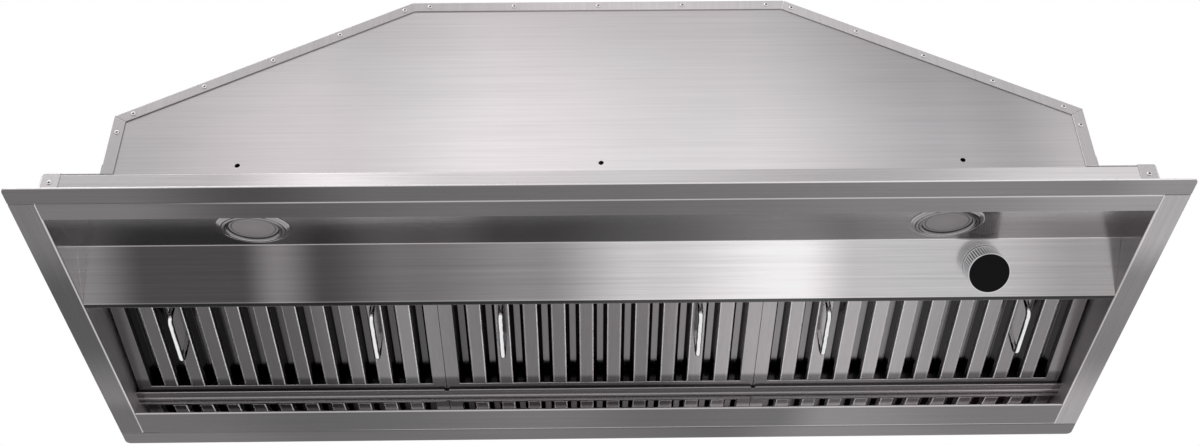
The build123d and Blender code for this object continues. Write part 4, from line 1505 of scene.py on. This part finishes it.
# ---------------------------------------------------------------- studio
@dataclass(frozen=True)
class Viewpoint:
    """The photograph's camera.

    Attributes:
        place: Where it stands, in metres.
        focal: Its focal length in pixels of the photograph.
        yaw: Degrees that it looks to the right.
        pitch: Degrees that it looks up.
        roll: Degrees that it is turned about its own line of sight.
    """

    place: Place = (-0.0180, -1.3859, -0.9276)
    focal: float = 1489.9
    yaw: float = 0.782
    pitch: float = 37.765
    roll: float = -0.965

    def build(self) -> None:
        """Make the camera and look through it."""
        yaw, pitch, roll = (math.radians(angle) for angle in (self.yaw, self.pitch, self.roll))
        forward = Vector(
            (math.sin(yaw) * math.cos(pitch), math.cos(yaw) * math.cos(pitch), math.sin(pitch))
        )
        level = Vector((math.cos(yaw), -math.sin(yaw), 0.0))
        upright = level.cross(forward)
        right = math.cos(roll) * level + math.sin(roll) * upright
        up = math.cos(roll) * upright - math.sin(roll) * level
        data = bpy.data.cameras.new("photo_camera")
        data.sensor_width = SENSOR_WIDTH
        data.lens = self.focal / IMAGE_WIDTH * SENSOR_WIDTH
        camera = bpy.data.objects.new("photo_camera", data)
        turn = Matrix((right, up, -forward)).transposed().to_4x4()
        camera.matrix_world = Matrix.Translation(self.place) @ turn
        bpy.context.collection.objects.link(camera)
        bpy.context.scene.camera = camera
        log.info("camera at %s", self.place)


@dataclass(frozen=True)
class Softbox:
    """One large soft lamp.

    Attributes:
        name: The lamp's name.
        place: Its middle, in metres.
        aim: The point that it faces.
        size: Its width and height, in metres.
        power: Its power in watts.
        screened: Whether a screen keeps its light off the floor.
    """

    name: str
    place: Place
    aim: Place
    size: tuple[float, float]
    power: float
    screened: bool = False

    def build(self, floor: bpy.types.Object) -> None:
        """Make the lamp.

        Args:
            floor: The studio's floor.
        """
        data = bpy.data.lights.new(self.name, "AREA")
        data.shape = "RECTANGLE"
        data.size, data.size_y = self.size
        data.energy = self.power
        lamp = bpy.data.objects.new(self.name, data)
        lamp.location = self.place
        lamp.rotation_euler = (Vector(self.aim) - Vector(self.place)).to_track_quat("-Z", "Y").to_euler()
        bpy.context.collection.objects.link(lamp)
        if self.screened:
            screened = bpy.data.collections.new(f"{self.name}_screen")
            screened.objects.link(floor)
            screened.collection_objects[0].light_linking.link_state = "EXCLUDE"
            lamp.light_linking.receiver_collection = screened
        log.info("lamp %s, %.0f W", self.name, self.power)


@dataclass(frozen=True)
class Studio:
    """A white sky, a pale floor and soft lamps.

    Attributes:
        floor_height: Height of the floor, in metres.
        floor_reach: Half the floor's side, in metres.
        floor_colour: The floor's colour.
        floor_glow: How much paler the floor is shown than it is lit.
        sky_light: Strength of the sky on dull surfaces.
        lamps: The soft lamps.
    """

    floor_height: float = -1.15
    floor_reach: float = 14.0
    floor_colour: Colour = (0.80, 0.80, 0.80)
    floor_glow: float = 0.45
    sky_light: float = 0.55
    lamps: tuple[Softbox, ...] = (
        Softbox("key_softbox", (-2.0, -1.2, 3.8), (0.0, 0.0, 0.1), (3.6, 3.0), 55.0),
        Softbox("fill_softbox", (2.4, -3.6, -0.4), (0.0, 0.0, 0.1), (2.0, 1.2), 14.0, True),
    )

    def build(self) -> None:
        """Make the sky, the floor and the lamps."""
        self._sky()
        floor = self._floor()
        for lamp in self.lamps:
            lamp.build(floor)
        bpy.context.scene.view_settings.view_transform = "Standard"

    def _sky(self) -> None:
        """White where it is seen, mirrored or looked through, softer as a light."""
        world = bpy.data.worlds.new("studio_sky")
        bpy.context.scene.world = world
        shading = Shading(world)
        strength = shading.shown() * (1 - self.sky_light) + self.sky_light
        white = (1.0, 1.0, 1.0)
        sky = shading.node("ShaderNodeBackground", {}, {"Color": white, "Strength": strength})
        shading.end("ShaderNodeOutputWorld", sky)

    def _floor(self) -> bpy.types.Object:
        """A plain pale floor that is clear from below."""
        data = bpy.data.meshes.new("studio_floor")
        reach = self.floor_reach
        corners = [(-reach, -reach), (reach, -reach), (reach, reach), (-reach, reach)]
        data.from_pydata([(x, y, self.floor_height) for x, y in corners], [], [(0, 1, 2, 3)])
        material = bpy.data.materials.new("pale_floor")
        shading = Shading(material)
        grit = shading.noise(shading.place(), 60.0)
        pale = shading.colour(self.floor_colour).scaled(1 + grit * 0.02)
        shading.surface(
            Base_Color=pale,
            Roughness=0.8,
            Emission_Color=pale.scaled(shading.shown() * self.floor_glow),
            Emission_Strength=1.0,
            Alpha=1 - shading.from_behind(),
        )
        data.materials.append(material)
        floor = bpy.data.objects.new("studio_floor", data)
        bpy.context.collection.objects.link(floor)
        return floor


def main() -> None:
    """Load the hood, dress it part by part, and set it in the studio."""
    logging.basicConfig(level=logging.INFO, format="%(name)s: %(message)s")
    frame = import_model()
    Viewpoint().build()
    wardrobe = Wardrobe(frame["nodes"])
    for part in (LowerBox, Housing, LampPanel, Filters, Blower, Duct, Wiring):
        log.info("building %s", part.__name__)
        part(wardrobe).build()
    if wardrobe.bare():
        log.warning("nodes without a finish: %s", wardrobe.bare())
    Studio().build()


if __name__ == "__main__":
    main()
